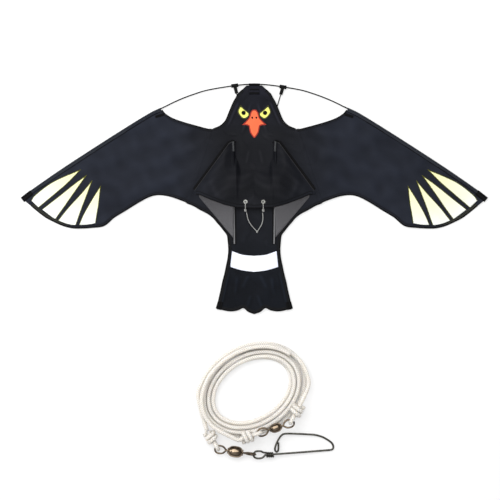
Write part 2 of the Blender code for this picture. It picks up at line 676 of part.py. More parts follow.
def add_belly():
    """Raised belly panel with hem, mesh vents, keel rods and their caps."""
    columns = [-x for x in reversed(BELLY_COLUMNS_SHARES[1:])] + BELLY_COLUMNS_SHARES
    rows = [[belly_spot(x, v) for x in columns] for v in BELLY_ROW_SHARES]
    belly = lofted("belly_panel", "cloth", rows)
    hem = []
    for k in (0, 0.5, 1):
        row = []
        for x in columns[1:-1]:
            span = belly_spot(x, 1).y - belly_spot(x, 0).y
            share = min(BELLY_HEM, span * 0.4) / span
            row.append(belly_spot(x, share * k, CLOTH + 2 * GAP))
        hem.append(row)
    lofted("belly_hem", "hem", hem)
    for side, label in ((1, "right"), (-1, "left")):
        low, high = place(KEEL_SHARES, side)
        base = SAIL_Z + CLOTH / 2 + GAP
        start = Vector((*low, base + KEEL_RADIUS))
        end = Vector((*high, base + CAP_RADIUS))
        way = (end - start).normalized()
        bar = cylinder_mesh(start, end - way * 0.0023, KEEL_RADIUS, 14)
        joined(label + "_keel_rod", "grey", [bar])
        cap = [(CAP_LENGTH - 0.002, 0), (CAP_LENGTH - 0.002, KEEL_RADIUS + GAP),
               (0, KEEL_RADIUS + GAP), (0, CAP_RADIUS), (CAP_LENGTH - 0.0006, CAP_RADIUS),
               (CAP_LENGTH, CAP_RADIUS - 0.0006), (CAP_LENGTH, 0)]
        mesh = turned_mesh(cap, end - way * CAP_LENGTH, end, 16, closed=False)
        joined(label + "_keel_cap", "vinyl", [mesh])
        outer, inner, apex = [Vector((*p, 0)) for p in place(VENT_SHARES, side)]
        rows = []
        for s in (0.06, 0.16, 0.28, 0.4, 0.52, 0.64, 0.76, 0.88, 1.0):
            base_spot = outer.lerp(apex, s)
            base_spot.z = SAIL_Z + 2.2 * LAYER
            x = outer.x + (inner.x - outer.x) * s
            top_spot = belly_spot(x / HALF_SPAN, 0) - Vector((0, 0.0006, 1.6 * LAYER))
            row = []
            for t in (0, 0.25, 0.5, 0.75, 1):
                spot = base_spot.lerp(top_spot, t)
                row.append(spot)
            rows.append(row)
        lofted(label + "_mesh_vent", "mesh", rows)
        spot, normal = eyelet_frame(side)
        flange = CLOTH / 2 + 1.6 * GAP
        rim = flange + CLOTH
        ring = [(-rim, EYELET_HOLE), (-rim, EYELET_RADIUS), (-flange, EYELET_RADIUS),
                (-flange, EYELET_HOLE + 0.0006), (flange, EYELET_HOLE + 0.0006),
                (flange, EYELET_RADIUS), (rim, EYELET_RADIUS), (rim, EYELET_HOLE)]
        ring = [(along + rim, radius) for along, radius in ring]
        mesh = turned_mesh(ring, spot - normal * rim, spot + normal * rim, 24)
        joined(label + "_eyelet", "metal", [mesh])
        combine(belly, cylinder_mesh(spot - normal * 0.004, spot + normal * 0.004,
                                     EYELET_HOLE + 0.0010, 20), label + "_hole", "DIFFERENCE")


def ring_mesh(centre, axis, radius, tube, count=16):
    """A closed ring of cord about an axis."""
    axis = Vector(axis).normalized()
    side = axis.orthogonal().normalized()
    other = axis.cross(side)
    points = [centre + side * radius * math.cos(a) + other * radius * math.sin(a)
              for a in np.linspace(0, 2 * math.pi, count, endpoint=False)]
    return tube_mesh([tuple(p) for p in points], tube, cyclic=True)


def ball_mesh(centre, radius, squash=1.0):
    """A small closed knot body."""
    work = bmesh.new()
    bmesh.ops.create_uvsphere(work, u_segments=14, v_segments=8, radius=radius)
    bmesh.ops.scale(work, vec=(1, 1, squash), verts=work.verts[:])
    bmesh.ops.translate(work, vec=centre, verts=work.verts[:])
    mesh = bpy.data.meshes.new("ball")
    work.to_mesh(mesh)
    work.free()
    return mesh


def add_bridle():
    """Loops through the eyelets and the swinging V with its knots."""
    loft = 0.0022
    knots = []
    for side, label in ((1, "right"), (-1, "left")):
        spot, normal = eyelet_frame(side)
        x = side * EYELET_SHARE[0]
        edge = belly_spot(x, 0)
        knot = Vector((edge.x, BRIDLE_KNOT_SHARE * BODY_LENGTH, edge.z - 0.0004))
        down = (edge - spot).normalized()
        cord = 2 * BRIDLE_RADIUS
        path = [spot - normal * loft, spot, spot + normal * loft,
                spot + down * 0.0030 + normal * (loft + 0.0006),
                spot + down * 0.0068 + normal * loft,
                edge + normal * (loft + 0.0002) + Vector((0, 0.0012, 0)),
                edge + Vector((0, -0.0028, 0.0019)),
                knot + Vector((0, 0.0014, 0.0011)), knot + Vector((0, -0.0006, 0.0011)),
                knot + Vector((0, -0.0016, 0)),
                knot + Vector((0, -0.0006, -0.0011)), knot + Vector((0, 0.0014, -0.0011)),
                edge + Vector((0, -0.0028, -0.0019)),
                edge - normal * (loft - 0.0002) + Vector((0, 0.0012, 0)),
                spot + down * 0.0068 - normal * loft,
                spot + down * 0.0030 - normal * (loft + 0.0006)]
        loop = tube_mesh([tuple(p) for p in path], BRIDLE_RADIUS, cyclic=True)
        knots.append(knot)
        ring = ring_mesh(knot, (0, 1, 0), BRIDLE_RADIUS * 2 + 0.0008, BRIDLE_RADIUS)
        combine(joined(label + "_bridle_loop", "line", [loop]), ring, "knot", "UNION")
    tow_radius = 0.0026
    tow = Vector((*place([TOW_SHARE])[0], SAIL_Z + CLOTH / 2 + GAP + tow_radius))
    hinge = (knots[0] + knots[1]) / 2
    line = joined("bridle_line", "line", [ball_mesh(tow - hinge, tow_radius)])
    line.location = hinge
    for k, knot in enumerate(knots):
        way = (tow - knot).normalized()
        first = knot + way * 0.0062
        sag = []
        for t in (0, 0.14, 0.28, 0.42, 0.56, 0.7, 0.85, 1):
            spot = first.lerp(tow, t)
            spot.z += BRIDLE_SAG * math.sin(math.pi * t)
            spot.x += (1, -1)[k] * BRIDLE_BOW * math.sin(math.pi * t)
            sag.append(tuple(spot))
        combine(line, tube_mesh(sag, BRIDLE_RADIUS), ("right", "left")[k] + "_strand", "UNION")
    print("bridle hinge", [round(c, 5) for c in hinge])


def coil_point(turn, inward, z):
    """Point of the coil's centre line, moved inward from its outermost oval."""
    angle = COIL_START - 2 * math.pi * turn - COIL_TILT
    x = (COIL_A - inward) * math.cos(angle)
    y = (COIL_B - inward) * math.sin(angle)
    return Vector((COIL_CENTRE[0] + x * math.cos(COIL_TILT) - y * math.sin(COIL_TILT),
                   COIL_CENTRE[1] + x * math.sin(COIL_TILT) + y * math.cos(COIL_TILT), z))


def coil_place(turn):
    """Spiral in on the floor for 3.5 turns, climb for half a turn, spiral out on top."""
    floor, top = CORD_RADIUS, CORD_RADIUS + CORD_LAYER
    if turn < 3.5:
        return coil_point(turn, CORD_PITCH * turn, floor)
    if turn < 4:
        u = (turn - 3.5) / 0.5
        inward = CORD_PITCH * (3.5 + 0.25 * math.sin(math.pi * u))
        return coil_point(turn, inward, floor + (top - floor) * ease(u))
    swing = max(0.0, (turn - 6.1) / 0.5) ** 3
    inward = CORD_PITCH * (7.5 - turn) - COIL_SWING * swing
    rise = (AXIS_B_Z - top) * 0.62 * ease((turn - 6.48) / 0.16)
    return coil_point(turn, inward, top + rise)


def knot_path(knot, tip, hand=1, wraps=2, tail=0.013):
    """Bight through an eye whose end wire is at tip, then wraps to one hand and a cut tail."""
    along = Vector((tip.x - knot.x, tip.y - knot.y, 0))
    reach = along.length
    along.normalize()
    up = Vector((0, 0, 1))
    side = along.cross(up) * hand
    fall = Vector((0, 0, (tip.z - knot.z) / reach))

    def spot(e, n, m=0.0):
        return knot + along * e + up * n + side * m + fall * max(0.0, e)

    bend = WIRE_RADIUS + CORD_RADIUS + 0.0005
    path = [spot(0.002, 0), spot(0.006, 0), spot(0.011, 0.0004), spot(0.0155, 0.0032),
            spot(reach - 0.004, bend * 0.88), spot(reach, bend)]
    for a in (60, 30, 0, -30, -60, -90):
        t = math.radians(a)
        path.append(spot(reach + bend * math.cos(t), bend * math.sin(t)))
    path.append(spot(reach - 0.005, -bend * 1.06))
    count = 12 * wraps
    for k in range(count + 1):
        a = 2 * math.pi * k / 12
        path.append(spot(KNOT_REACH * (1 - 2 * k / count), -KNOT_RADIUS * math.cos(a),
                         KNOT_RADIUS * math.sin(a)))
    path.append(spot(-KNOT_REACH - 0.0012, -KNOT_RADIUS, tail * 0.45))
    path.append(spot(-KNOT_REACH - 0.0024, -KNOT_RADIUS, tail))
    return [tuple(p) for p in path], along


EYE_OUTLINE_SHARES = [(0, 0), (0.1, 0.12), (0.22, 0.32), (0.36, 0.45), (0.55, 0.5),
                      (0.75, 0.48), (0.9, 0.36), (0.975, 0.19), (1, 0), (0.975, -0.19),
                      (0.9, -0.36), (0.75, -0.48), (0.55, -0.5), (0.36, -0.45),
                      (0.25, -0.37)]


def eye_path(neck, along, across, length, width):
    """Loop of wire leaving the neck and coming back beside it."""
    return [neck + along * (u * length) + across * (w * width)
            for u, w in EYE_OUTLINE_SHARES]


def swivel_eye(name, end, along, across, width):
    """A wire eye with a head kept inside the barrel's end."""
    neck = end + along * 0.0020
    path = [end - along * 0.0075, end - along * 0.0034, end - along * 0.0028]
    path += eye_path(neck, along, across, EYE_LENGTH - 0.0020, width)
    radii = [2.0, 2.0] + [1.0] * (len(path) - 2)
    mesh = tube_mesh([tuple(p) for p in path], WIRE_RADIUS, radii)
    joined(name, "wire", [mesh])
    return path[3 + 8], path[3:]


def add_barrel(name, centre, along, radius, length):
    """Hollow swivel barrel with a hole for an eye at each end."""
    hole = WIRE_RADIUS + GAP
    wall = BARREL_WALL
    outer = [(0, hole), (0, radius * 0.5), (length * 0.07, radius * 0.62),
             (length * 0.18, radius * 0.9), (length * 0.36, radius),
             (length * 0.64, radius), (length * 0.82, radius * 0.9),
             (length * 0.93, radius * 0.62), (length, radius * 0.5), (length, hole)]
    inner = [(length - wall, hole), (length - wall, radius * 0.46),
             (length * 0.74, radius - wall * 1.15), (length * 0.26, radius - wall * 1.15),
             (wall, radius * 0.46), (wall, hole)]
    start = centre - along * length / 2
    mesh = turned_mesh(outer + inner, start, centre + along * length / 2, 20)
    joined(name, "bronze", [mesh])


def least_gap(first, second, reach):
    """Smallest distance between two centre lines less their two radii."""
    a, b = np.array([tuple(p) for p in first]), np.array([tuple(p) for p in second])

    def fine(points):
        steps = np.linspace(0, 1, 12, endpoint=False)[:, None, None]
        return (points[:-1] + (points[1:] - points[:-1]) * steps).reshape(-1, 3)

    a, b = fine(a), fine(b)
    return float(np.sqrt(((a[:, None] - b[None]) ** 2).sum(2)).min()) - reach


SNAP_SHARES = [(330.4, 447.7), (315, 448.8), (300, 449.9), (287, 450.8), (276, 451.5),
               (266, 452.1)]
GATE_SHARES = [(331.0, 447.6), (332.7, 446.6), (333.3, 444.4), (332.2, 441.4),
               (329.3, 438.7), (322.9, 434.9), (315.3, 432.6), (307, 431.9), (296, 431.3),
               (285.3, 431.2), (281.3, 433.0), (277.4, 438.7), (275.0, 445.2),
               (275.2, 448.0), (276.6, 449.2), (278.1, 447.8), (278.4, 444), (278.3, 440)]
SNAP_SCALE = HALF_SPAN / 233
SNAP_ORIGIN = (254.3, 198.75)
SNAP_DROP = 2.2


def add_line_set():
    """Coiled line, its knots, the two barrel swivels and the wire snap."""
    wire = 2 * WIRE_RADIUS
    along_a = Vector((math.cos(BARREL_A_SLOPE), math.sin(BARREL_A_SLOPE), 0))
    side_a = Vector((-along_a.y, along_a.x, 0))
    centre_a = Vector((*BARREL_A, AXIS_A_Z))
    add_barrel("snap_swivel_barrel", centre_a, along_a, BARREL_A_RADIUS, BARREL_A_LENGTH)
    half = along_a * BARREL_A_LENGTH / 2
    tip_a, eye_a = swivel_eye("snap_swivel_line_eye", centre_a - half, -along_a, -side_a,
                              EYE_WIDTH)
    roll = math.radians(RING_ROLL)
    tilted = side_a * math.cos(roll) + Vector((0, 0, 1)) * math.sin(roll)
    link, ring = swivel_eye("snap_swivel_ring_eye", centre_a + half, along_a, tilted,
                            RING_WIDTH)
    print("snap swivel axis", [round(c, 5) for c in centre_a], [round(c, 4) for c in along_a])

    along_b = Vector((math.cos(BARREL_B_SLOPE), math.sin(BARREL_B_SLOPE), 0))
    side_b = Vector((-along_b.y, along_b.x, 0))
    centre_b = Vector((*BARREL_B, AXIS_B_Z))
    add_barrel("pole_swivel_barrel", centre_b, along_b, BARREL_B_RADIUS, BARREL_B_LENGTH)
    half = along_b * BARREL_B_LENGTH / 2
    _, eye_r = swivel_eye("pole_swivel_coil_eye", centre_b + half, along_b, side_b, EYE_WIDTH)
    tip_l, _ = swivel_eye("pole_swivel_pole_eye", centre_b - half, -along_b, -side_b,
                          EYE_WIDTH)
    print("pole swivel axis", [round(c, 5) for c in centre_b], [round(c, 4) for c in along_b])

    hold = eye_a[10]
    knot_a = Vector((hold.x - KNOT_STAND * math.cos(KNOT_A_TURN),
                     hold.y - KNOT_STAND * math.sin(KNOT_A_TURN), KNOT_A_Z))
    path_a, way_a = knot_path(knot_a, hold)
    joined("snap_end_knot", "cord", [tube_mesh(path_a, CORD_RADIUS)])
    hold = eye_r[6]
    knot_r = Vector((hold.x + KNOT_STAND * math.cos(KNOT_B_TURN),
                     hold.y + KNOT_STAND * math.sin(KNOT_B_TURN), hold.z))
    path_r, way_r = knot_path(knot_r, hold, hand=-1)
    joined("coil_end_knot", "cord", [tube_mesh(path_r, CORD_RADIUS)])
    knot_l = tip_l - along_b * KNOT_STAND
    path_l, way_l = knot_path(knot_l, tip_l)

    turns = np.linspace(0.06, COIL_TURNS, 158)
    coil = [coil_place(t) for t in turns]
    inside = knot_a + way_a * 0.0015
    lead = [inside, knot_a - way_a * 0.014, knot_a - way_a * 0.024 - Vector((0, 0, 0.0016))]
    for k, lift in ((0, 0.0080), (1, 0.0056), (2, 0.0030), (3, 0.0010)):
        coil[k].z += lift
    out = [knot_r - way_r * 0.030, knot_r - way_r * 0.016, knot_r + way_r * 0.0015]
    route = [tuple(p) for p in smooth(lead + coil[:2], 3)[:-4]]
    route += [tuple(p) for p in coil[1:-1]]
    route += [tuple(p) for p in smooth([coil[-2], coil[-1]] + out, 4)[1:]]
    joined("line_coil", "cord", [tube_mesh(route, CORD_RADIUS)])
    length = sum((Vector(a) - Vector(b)).length for a, b in zip(route, route[1:]))
    pts = np.array(route)
    gaps = []
    along = np.concatenate([[0], np.cumsum(np.linalg.norm(np.diff(pts, axis=0), axis=1))])
    for k in range(len(pts) - 1):
        far = along[:-1] > along[k] + 6 * CORD_RADIUS
        if far.any():
            seg = pts[1:] - pts[:-1]
            t = np.clip(((pts[k] - pts[:-1]) * seg).sum(1) / (seg ** 2).sum(1), 0, 1)
            near = np.linalg.norm(pts[:-1] + seg * t[:, None] - pts[k], axis=1)
            gaps.append(near[far].min())
    print("coil length", round(length, 4), "least gap to itself",
          round((min(gaps) - 2 * CORD_RADIUS) * 1000, 3), "mm")

    z = CORD_RADIUS + 2 * CORD_LAYER
    pole = [coil_point(t, CORD_PITCH * 0.95, z) for t in np.linspace(-0.085, 0.468, 20)]
    lead = [knot_l + way_l * 0.0015, knot_l - way_l * 0.014,
            knot_l - way_l * 0.025 - Vector((0, 0, 0.0012))]
    pole[0].z += 0.0072
    pole[1].z += 0.0046
    pole[2].z += 0.0018
    pole_route = [tuple(p) for p in smooth(lead + pole[1:], 3)]
    joined("pole_line", "cord", [tube_mesh(pole_route, CORD_RADIUS)])
    joined("pole_end_knot", "cord", [tube_mesh(path_l, CORD_RADIUS)])
    length = sum((Vector(a) - Vector(b)).length for a, b in zip(pole_route, pole_route[1:]))
    print("pole line length", round(length, 4))

    def snap_spot(point):
        return Vector(((point[0] - SNAP_ORIGIN[0]) * SNAP_SCALE,
                       (SNAP_ORIGIN[1] - point[1] - SNAP_DROP) * SNAP_SCALE, 0))

    pivot = Vector((link.x - wire - LINK_GAP, link.y, link.z))
    neck = snap_spot(SNAP_SHARES[-1])
    far = snap_spot(GATE_SHARES[2])
    pivot.y = neck.y + 0.0002
    slope = (pivot.z - WIRE_RADIUS - 0.0002) / (far.x - pivot.x)

    def lay(point):
        return Vector((point.x, point.y, pivot.z - (point.x - pivot.x) * slope))

    shank = [lay(snap_spot(p)) for p in SNAP_SHARES]
    back = (pivot - lay(neck)).normalized()
    reach = (pivot - lay(neck)).length
    across = Vector((0, -1, 0))
    loop = eye_path(lay(neck), back, across, reach, RING_WIDTH)
    wrap = []
    front = -back
    up = across.cross(front).normalized()
    coil_radius = wire + 0.00045
    for k in range(43):
        a = 2 * math.pi * k / 12
        step = front * (0.0006 + (wire + 0.00045) * k / 12)
        wrap.append(lay(neck) + step - across * coil_radius * math.cos(a)
                    + up * coil_radius * math.sin(a))
    path = shank + loop[1:] + wrap
    joined("snap_wire", "wire", [tube_mesh([tuple(p) for p in path], WIRE_RADIUS)])
    gate = [lay(snap_spot(p)) for p in GATE_SHARES]
    joined("snap_gate", "wire", [tube_mesh([tuple(p) for p in gate], WIRE_RADIUS)])
    print("snap turns about", [round(c, 5) for c in link], "gate hinge",
          [round(c, 5) for c in gate[0]])
    for turn in (0, 5, 10, 15):
        spin = Matrix.Rotation(-math.radians(turn), 3, "Z")
        swung = [link + spin @ (p - link) for p in loop]
        print("ring to snap eye at", turn, round(least_gap(ring, swung, wire) * 1000, 2), "mm")


clear_scene()
add_body()
add_wing(1, "right")
add_wing(-1, "left")
add_frame()
add_belly()
add_bridle()
add_line_set()
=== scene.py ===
# %% [markdown]
# # A bird scarer kite laid out on a pale floor
#
# The kite lies on its back, belly up, with its line set beside it. The packed
# model gives the brace and keel rods, the connectors, the caps and the eyelets.
# Everything made of cloth, cord or wire is built again here, with folds, hems,
# stitches and weave, and rides on the same bodies.

# %%
import math

import bpy
import numpy as np
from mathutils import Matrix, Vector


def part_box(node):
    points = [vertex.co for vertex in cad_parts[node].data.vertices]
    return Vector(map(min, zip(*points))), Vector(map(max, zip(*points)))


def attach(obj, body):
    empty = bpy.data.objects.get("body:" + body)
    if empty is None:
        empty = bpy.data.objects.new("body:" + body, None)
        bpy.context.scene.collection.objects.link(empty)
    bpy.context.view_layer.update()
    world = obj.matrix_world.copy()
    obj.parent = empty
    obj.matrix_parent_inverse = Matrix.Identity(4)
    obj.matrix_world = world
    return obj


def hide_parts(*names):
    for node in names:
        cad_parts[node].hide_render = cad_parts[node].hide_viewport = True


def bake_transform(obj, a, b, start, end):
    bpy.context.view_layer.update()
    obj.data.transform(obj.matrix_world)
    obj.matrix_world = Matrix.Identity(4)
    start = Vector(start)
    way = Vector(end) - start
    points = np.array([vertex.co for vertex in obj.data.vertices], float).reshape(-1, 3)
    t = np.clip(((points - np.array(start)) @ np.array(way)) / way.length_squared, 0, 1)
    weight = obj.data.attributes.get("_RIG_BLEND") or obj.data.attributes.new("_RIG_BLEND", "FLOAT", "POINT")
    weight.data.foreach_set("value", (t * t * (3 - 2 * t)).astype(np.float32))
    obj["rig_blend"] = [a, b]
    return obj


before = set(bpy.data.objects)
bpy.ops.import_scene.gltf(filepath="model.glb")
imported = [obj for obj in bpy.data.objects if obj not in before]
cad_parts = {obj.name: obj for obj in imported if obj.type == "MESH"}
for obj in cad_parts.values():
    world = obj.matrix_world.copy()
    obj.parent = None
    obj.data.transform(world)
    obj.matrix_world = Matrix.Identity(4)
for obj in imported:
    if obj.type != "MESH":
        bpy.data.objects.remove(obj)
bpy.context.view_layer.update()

# %% [markdown]
# ## Sizes
#
# Lengths are metres. The outline is written as shares of the half span and of
# the body's length, so a point reads the same way as it does on the drawing.

# %%
HALF_SPAN = 0.55
BODY = 0.544
PIXEL = HALF_SPAN / 233
CLOTH = 0.0004
SAIL_Z = 0.0058
LAYER = 0.0007
BOW_R = 0.0015
ROD_INSET = 0.0022
NOSE = 0.0020
HINGE_TOP = np.array([0.1834 * HALF_SPAN, 0.303 * BODY])
HINGE_LOW = np.array([0.2880 * HALF_SPAN, -0.021 * BODY])
TIP = np.array([1.0 * HALF_SPAN, 0.005 * BODY])
HINGE_WAY = (HINGE_LOW - HINGE_TOP) / np.linalg.norm(HINGE_LOW - HINGE_TOP)
HINGE_OUT = np.array([-HINGE_WAY[1], HINGE_WAY[0]])
REACH = float((TIP - HINGE_TOP) @ HINGE_OUT)
DROOP = math.asin((SAIL_Z - 0.0029) / REACH)

HEAD_SIDE = [(0.0, 0.4905), (0.033, 0.4905), (0.053, 0.472), (0.071, 0.454), (0.08, 0.437),
             (0.09, 0.42), (0.105, 0.385), (0.119, 0.35), (0.129, 0.333), (0.148, 0.316),
             (0.176, 0.304), (0.1834, 0.303)]
WING_TOP = [(0.1834, 0.303), (0.195, 0.302), (0.249, 0.316), (0.307, 0.333),
            (0.352, 0.35), (0.381, 0.368), (0.395, 0.385), (0.403, 0.394)]
LEADING = [(0.403, 0.394), (0.455, 0.368), (0.568, 0.298), (0.703, 0.211), (0.833, 0.125),
           (0.957, 0.038), (1.0, 0.005)]
TIP_ARC = [(0.981, -0.012), (0.958, -0.031), (0.937, -0.049), (0.916, -0.066),
           (0.891, -0.084), (0.858, -0.101), (0.82, -0.118), (0.785, -0.127),
           (0.751, -0.129), (0.695, -0.126), (0.644, -0.118)]
TRAILING = [(0.603, -0.084), (0.575, -0.066), (0.547, -0.049), (0.519, -0.031),
            (0.491, -0.014), (0.46, 0.003), (0.433, 0.013), (0.406, 0.016),
            (0.373, 0.012), (0.342, 0.003), (0.297, -0.014), (0.288, -0.021)]
BODY_SIDE = [(0.288, -0.021), (0.262, -0.031), (0.231, -0.049), (0.199, -0.066),
             (0.176, -0.084), (0.162, -0.101), (0.147, -0.118), (0.133, -0.136),
             (0.12, -0.153), (0.116, -0.162), (0.113, -0.188), (0.111, -0.222),
             (0.114, -0.257), (0.121, -0.292), (0.128, -0.326), (0.137, -0.361),
             (0.144, -0.396), (0.152, -0.431), (0.161, -0.474)]
TAIL = [(0.161, -0.474), (0.129, -0.484), (0.098, -0.488), (0.069, -0.483),
        (0.047, -0.474), (0.026, -0.49), (0.0, -0.5)]
BOW = [(0.0, 0.4955), (0.043, 0.4945), (0.103, 0.4875), (0.199, 0.471), (0.257, 0.4535),
       (0.303, 0.4365), (0.344, 0.4185), (0.382, 0.3995)]

# %% [markdown]
# ## Lines and surfaces
#
# A few short helpers carry the whole model: a smooth line through points, the
# same line moved sideways, a grid of points turned into a mesh, and a round
# tube swept along a line.


# %%
def place(shares, side=1):
    """Shares of half span and body length become metres."""
    return np.array([(side * x * HALF_SPAN, y * BODY) for x, y in shares])


def smooth(points, steps=6):
    """Smooth line through every point, with steps between them.

    Between b and c, with a before and d after them, a place at share t is half of
    2b + (c - a)t + (2a - 5b + 4c - d)t squared + (3b - a - 3c + d)t cubed.
    """
    p = np.array(points, float)
    p = np.vstack([2 * p[0] - p[1], p, 2 * p[-1] - p[-2]])
    t = (np.arange(steps) / steps)[None, :, None]
    a, b, c, d = p[:-3, None], p[1:-2, None], p[2:-1, None], p[3:, None]
    q = 0.5 * (2 * b + (c - a) * t + (2 * a - 5 * b + 4 * c - d) * t ** 2
               + (3 * b - a - 3 * c + d) * t ** 3)
    return np.vstack([q.reshape(-1, p.shape[1]), p[-2]])


def walked(points):
    """Distance walked along a line at each of its points."""
    return np.concatenate([[0], np.cumsum(np.linalg.norm(np.diff(points, axis=0), axis=1))])


def even(points, count):
    """Walk along a line and read it at evenly spaced distances."""
    p = np.array(points, float)
    s = walked(p)
    want = np.linspace(0, s[-1], count)
    return np.stack([np.interp(want, s, p[:, k]) for k in range(p.shape[1])], 1)


def pair(u, v):
    """Two arrays spread to one shape and set side by side, as UVs or flat points."""
    return np.stack(np.broadcast_arrays(u, v), -1)


def sideways(points):
    """Unit vectors to the left of a flat line."""
    way = np.gradient(np.array(points, float)[:, :2], axis=0)
    way /= np.linalg.norm(way, axis=1)[:, None]
    return np.stack([-way[:, 1], way[:, 0]], 1)


def ease(t):
    """Soft start and finish between 0 and 1: t squared times (3 - 2t)."""
    t = np.clip(t, 0, 1)
    return t * t * (3 - 2 * t)


def grid(name, points, uv, look):
    """Turn a grid of points (rows, columns, 3) into a smooth sheet, with or without UVs."""
    rows, cols = points.shape[:2]
    first = np.arange(rows - 1)[:, None] * cols + np.arange(cols - 1)[None, :]
    quads = np.stack([first, first + 1, first + cols + 1, first + cols], -1).reshape(-1, 4)
    return raw(name, points.reshape(-1, 3), quads, None if uv is None else uv.reshape(-1, 2),
               look)


def raw(name, verts, quads, uv, look):
    """Make a mesh of four-sided faces from numpy arrays, smooth shaded.

    Each point carries a fold shading value of painted light: 0.5 is flat cloth, 1 a ridge with a painted
    highlight, 0 a valley with painted shade.
    """
    mesh = bpy.data.meshes.new(name)
    quads = np.asarray(quads)
    mesh.vertices.add(len(verts))
    mesh.vertices.foreach_set("co", np.asarray(verts, np.float32).ravel())
    mesh.loops.add(quads.size)
    mesh.loops.foreach_set("vertex_index", quads.astype(np.int32).ravel())
    mesh.polygons.add(len(quads))
    mesh.polygons.foreach_set("loop_start", np.arange(0, quads.size, 4, dtype=np.int32))
    mesh.polygons.foreach_set("loop_total", np.full(len(quads), 4, np.int32))
    mesh.update(calc_edges=True)
    mesh.polygons.foreach_set("use_smooth", np.ones(len(quads), bool))
    if uv is not None:
        layer = mesh.uv_layers.new(name="UVMap")
        layer.data.foreach_set("uv", np.asarray(uv, np.float32)[quads.ravel()].ravel())
    obj = bpy.data.objects.new(name, mesh)
    bpy.context.scene.collection.objects.link(obj)
    mesh.materials.append(look)
    return paint_fold_shading(obj, np.full(len(verts), 0.5))


def paint_fold_shading(obj, values):
    """Write the fold shading value of every point: painted highlight and painted shade."""
    data = obj.data.attributes
    layer = data.get("FoldShading") or data.new("FoldShading", "FLOAT", "POINT")
    layer.data.foreach_set("value", np.clip(values, 0, 1).astype(np.float32).ravel())
    return obj


def thick(obj, thickness=CLOTH):
    """Give a sheet its thickness, half of it on each side."""
    skin = obj.modifiers.new("Thickness", "SOLIDIFY")
    skin.thickness = thickness
    skin.offset = 0.0
    skin.use_even_offset = False
    return obj


def sweep(name, path, radius, look, sides):
    """Sweep a circle along a path, without twisting, and round off both its ends."""
    p = np.array(path, float)
    way = np.gradient(p, axis=0)
    way /= np.linalg.norm(way, axis=1)[:, None]
    ref = np.array([0, 0, 1.0]) if abs(way[0, 2]) < 0.9 else np.array([1.0, 0, 0])
    n = np.cross(way[0], ref)
    n /= np.linalg.norm(n)
    normals = []
    for t in way:
        n = n - t * (n @ t)
        n = n / np.linalg.norm(n)
        normals.append(n)
    n1 = np.array(normals)
    n2 = np.cross(way, n1)
    near = np.array([0.0, 0.55, 0.86])
    size = radius * np.concatenate([near, np.ones(len(p)), near[::-1]])
    far = np.array([[1.0], [0.8], [0.45]]) * radius * 0.35
    p = np.vstack([p[0] - way[0] * far, p, p[-1] + way[-1] * far[::-1]])
    n1 = np.vstack([n1[:1]] * 3 + [n1] + [n1[-1:]] * 3)
    n2 = np.vstack([n2[:1]] * 3 + [n2] + [n2[-1:]] * 3)
    a = np.linspace(0, 2 * math.pi, sides + 1)
    ring = n1[:, None] * np.cos(a)[None, :, None] + n2[:, None] * np.sin(a)[None, :, None]
    pts = p[:, None] + ring * size[:, None, None]
    s = walked(p)
    uv = pair(s[:, None], (a / (2 * math.pi))[None])
    return grid(name, pts, uv, look)


# %% [markdown]
# ## Shading helpers
#
# Each pattern is a small node group that gives a colour factor or a height. The
# groups work in metres on Object coordinates, or on a piece's own UVs, so that
# weave, stitch and braid have their real sizes.


# %%
class Nodes:
    """A node tree with one-line ways to add the nodes that every pattern needs."""

    def __init__(self, tree):
        self.tree = tree

    def add(self, kind):
        """Add one shader node."""
        return self.tree.nodes.new("ShaderNode" + kind)

    def link(self, value, socket):
        """Set a socket to a number or a colour, or wire another socket to it."""
        if isinstance(value, (int, float)):
            socket.default_value = value
        elif isinstance(value, tuple):
            socket.default_value = (*value, 1)
        else:
            self.tree.links.new(value, socket)

    def math(self, kind, *values):
        """Add one Math node with its inputs."""
        node = self.add("Math")
        node.operation = kind
        for value, socket in zip(values, node.inputs):
            self.link(value, socket)
        return node.outputs[0]

    def split(self, vector):
        """X, Y and Z of a vector."""
        node = self.add("SeparateXYZ")
        self.link(vector, node.inputs[0])
        return node.outputs

    def noise(self, vector, scale, detail):
        """Noise at a scale, in steps per metre."""
        node = self.add("TexNoise")
        for label, value in (("Scale", scale), ("Detail", detail), ("Vector", vector)):
            self.link(value, node.inputs[label])
        return node.outputs[0]

    def within(self, value, low=0.0, high=1.0):
        """Keep a value between two limits."""
        return self.math("MINIMUM", self.math("MAXIMUM", value, low), high)


def group(name, source, settings, results):
    """Start a node group: a vector to read, settings with their values, and results."""
    tree = bpy.data.node_groups.new(name, "ShaderNodeTree")
    tree.interface.new_socket(name=source, in_out="INPUT", socket_type="NodeSocketVector")
    for label, value in settings.items():
        socket = tree.interface.new_socket(name=label, in_out="INPUT",
                                           socket_type="NodeSocketFloat")
        socket.default_value = value
    for label in results:
        tree.interface.new_socket(name=label, in_out="OUTPUT", socket_type="NodeSocketFloat")
    into, out = tree.nodes.new("NodeGroupInput"), tree.nodes.new("NodeGroupOutput")
    return Nodes(tree), into.outputs, out.inputs


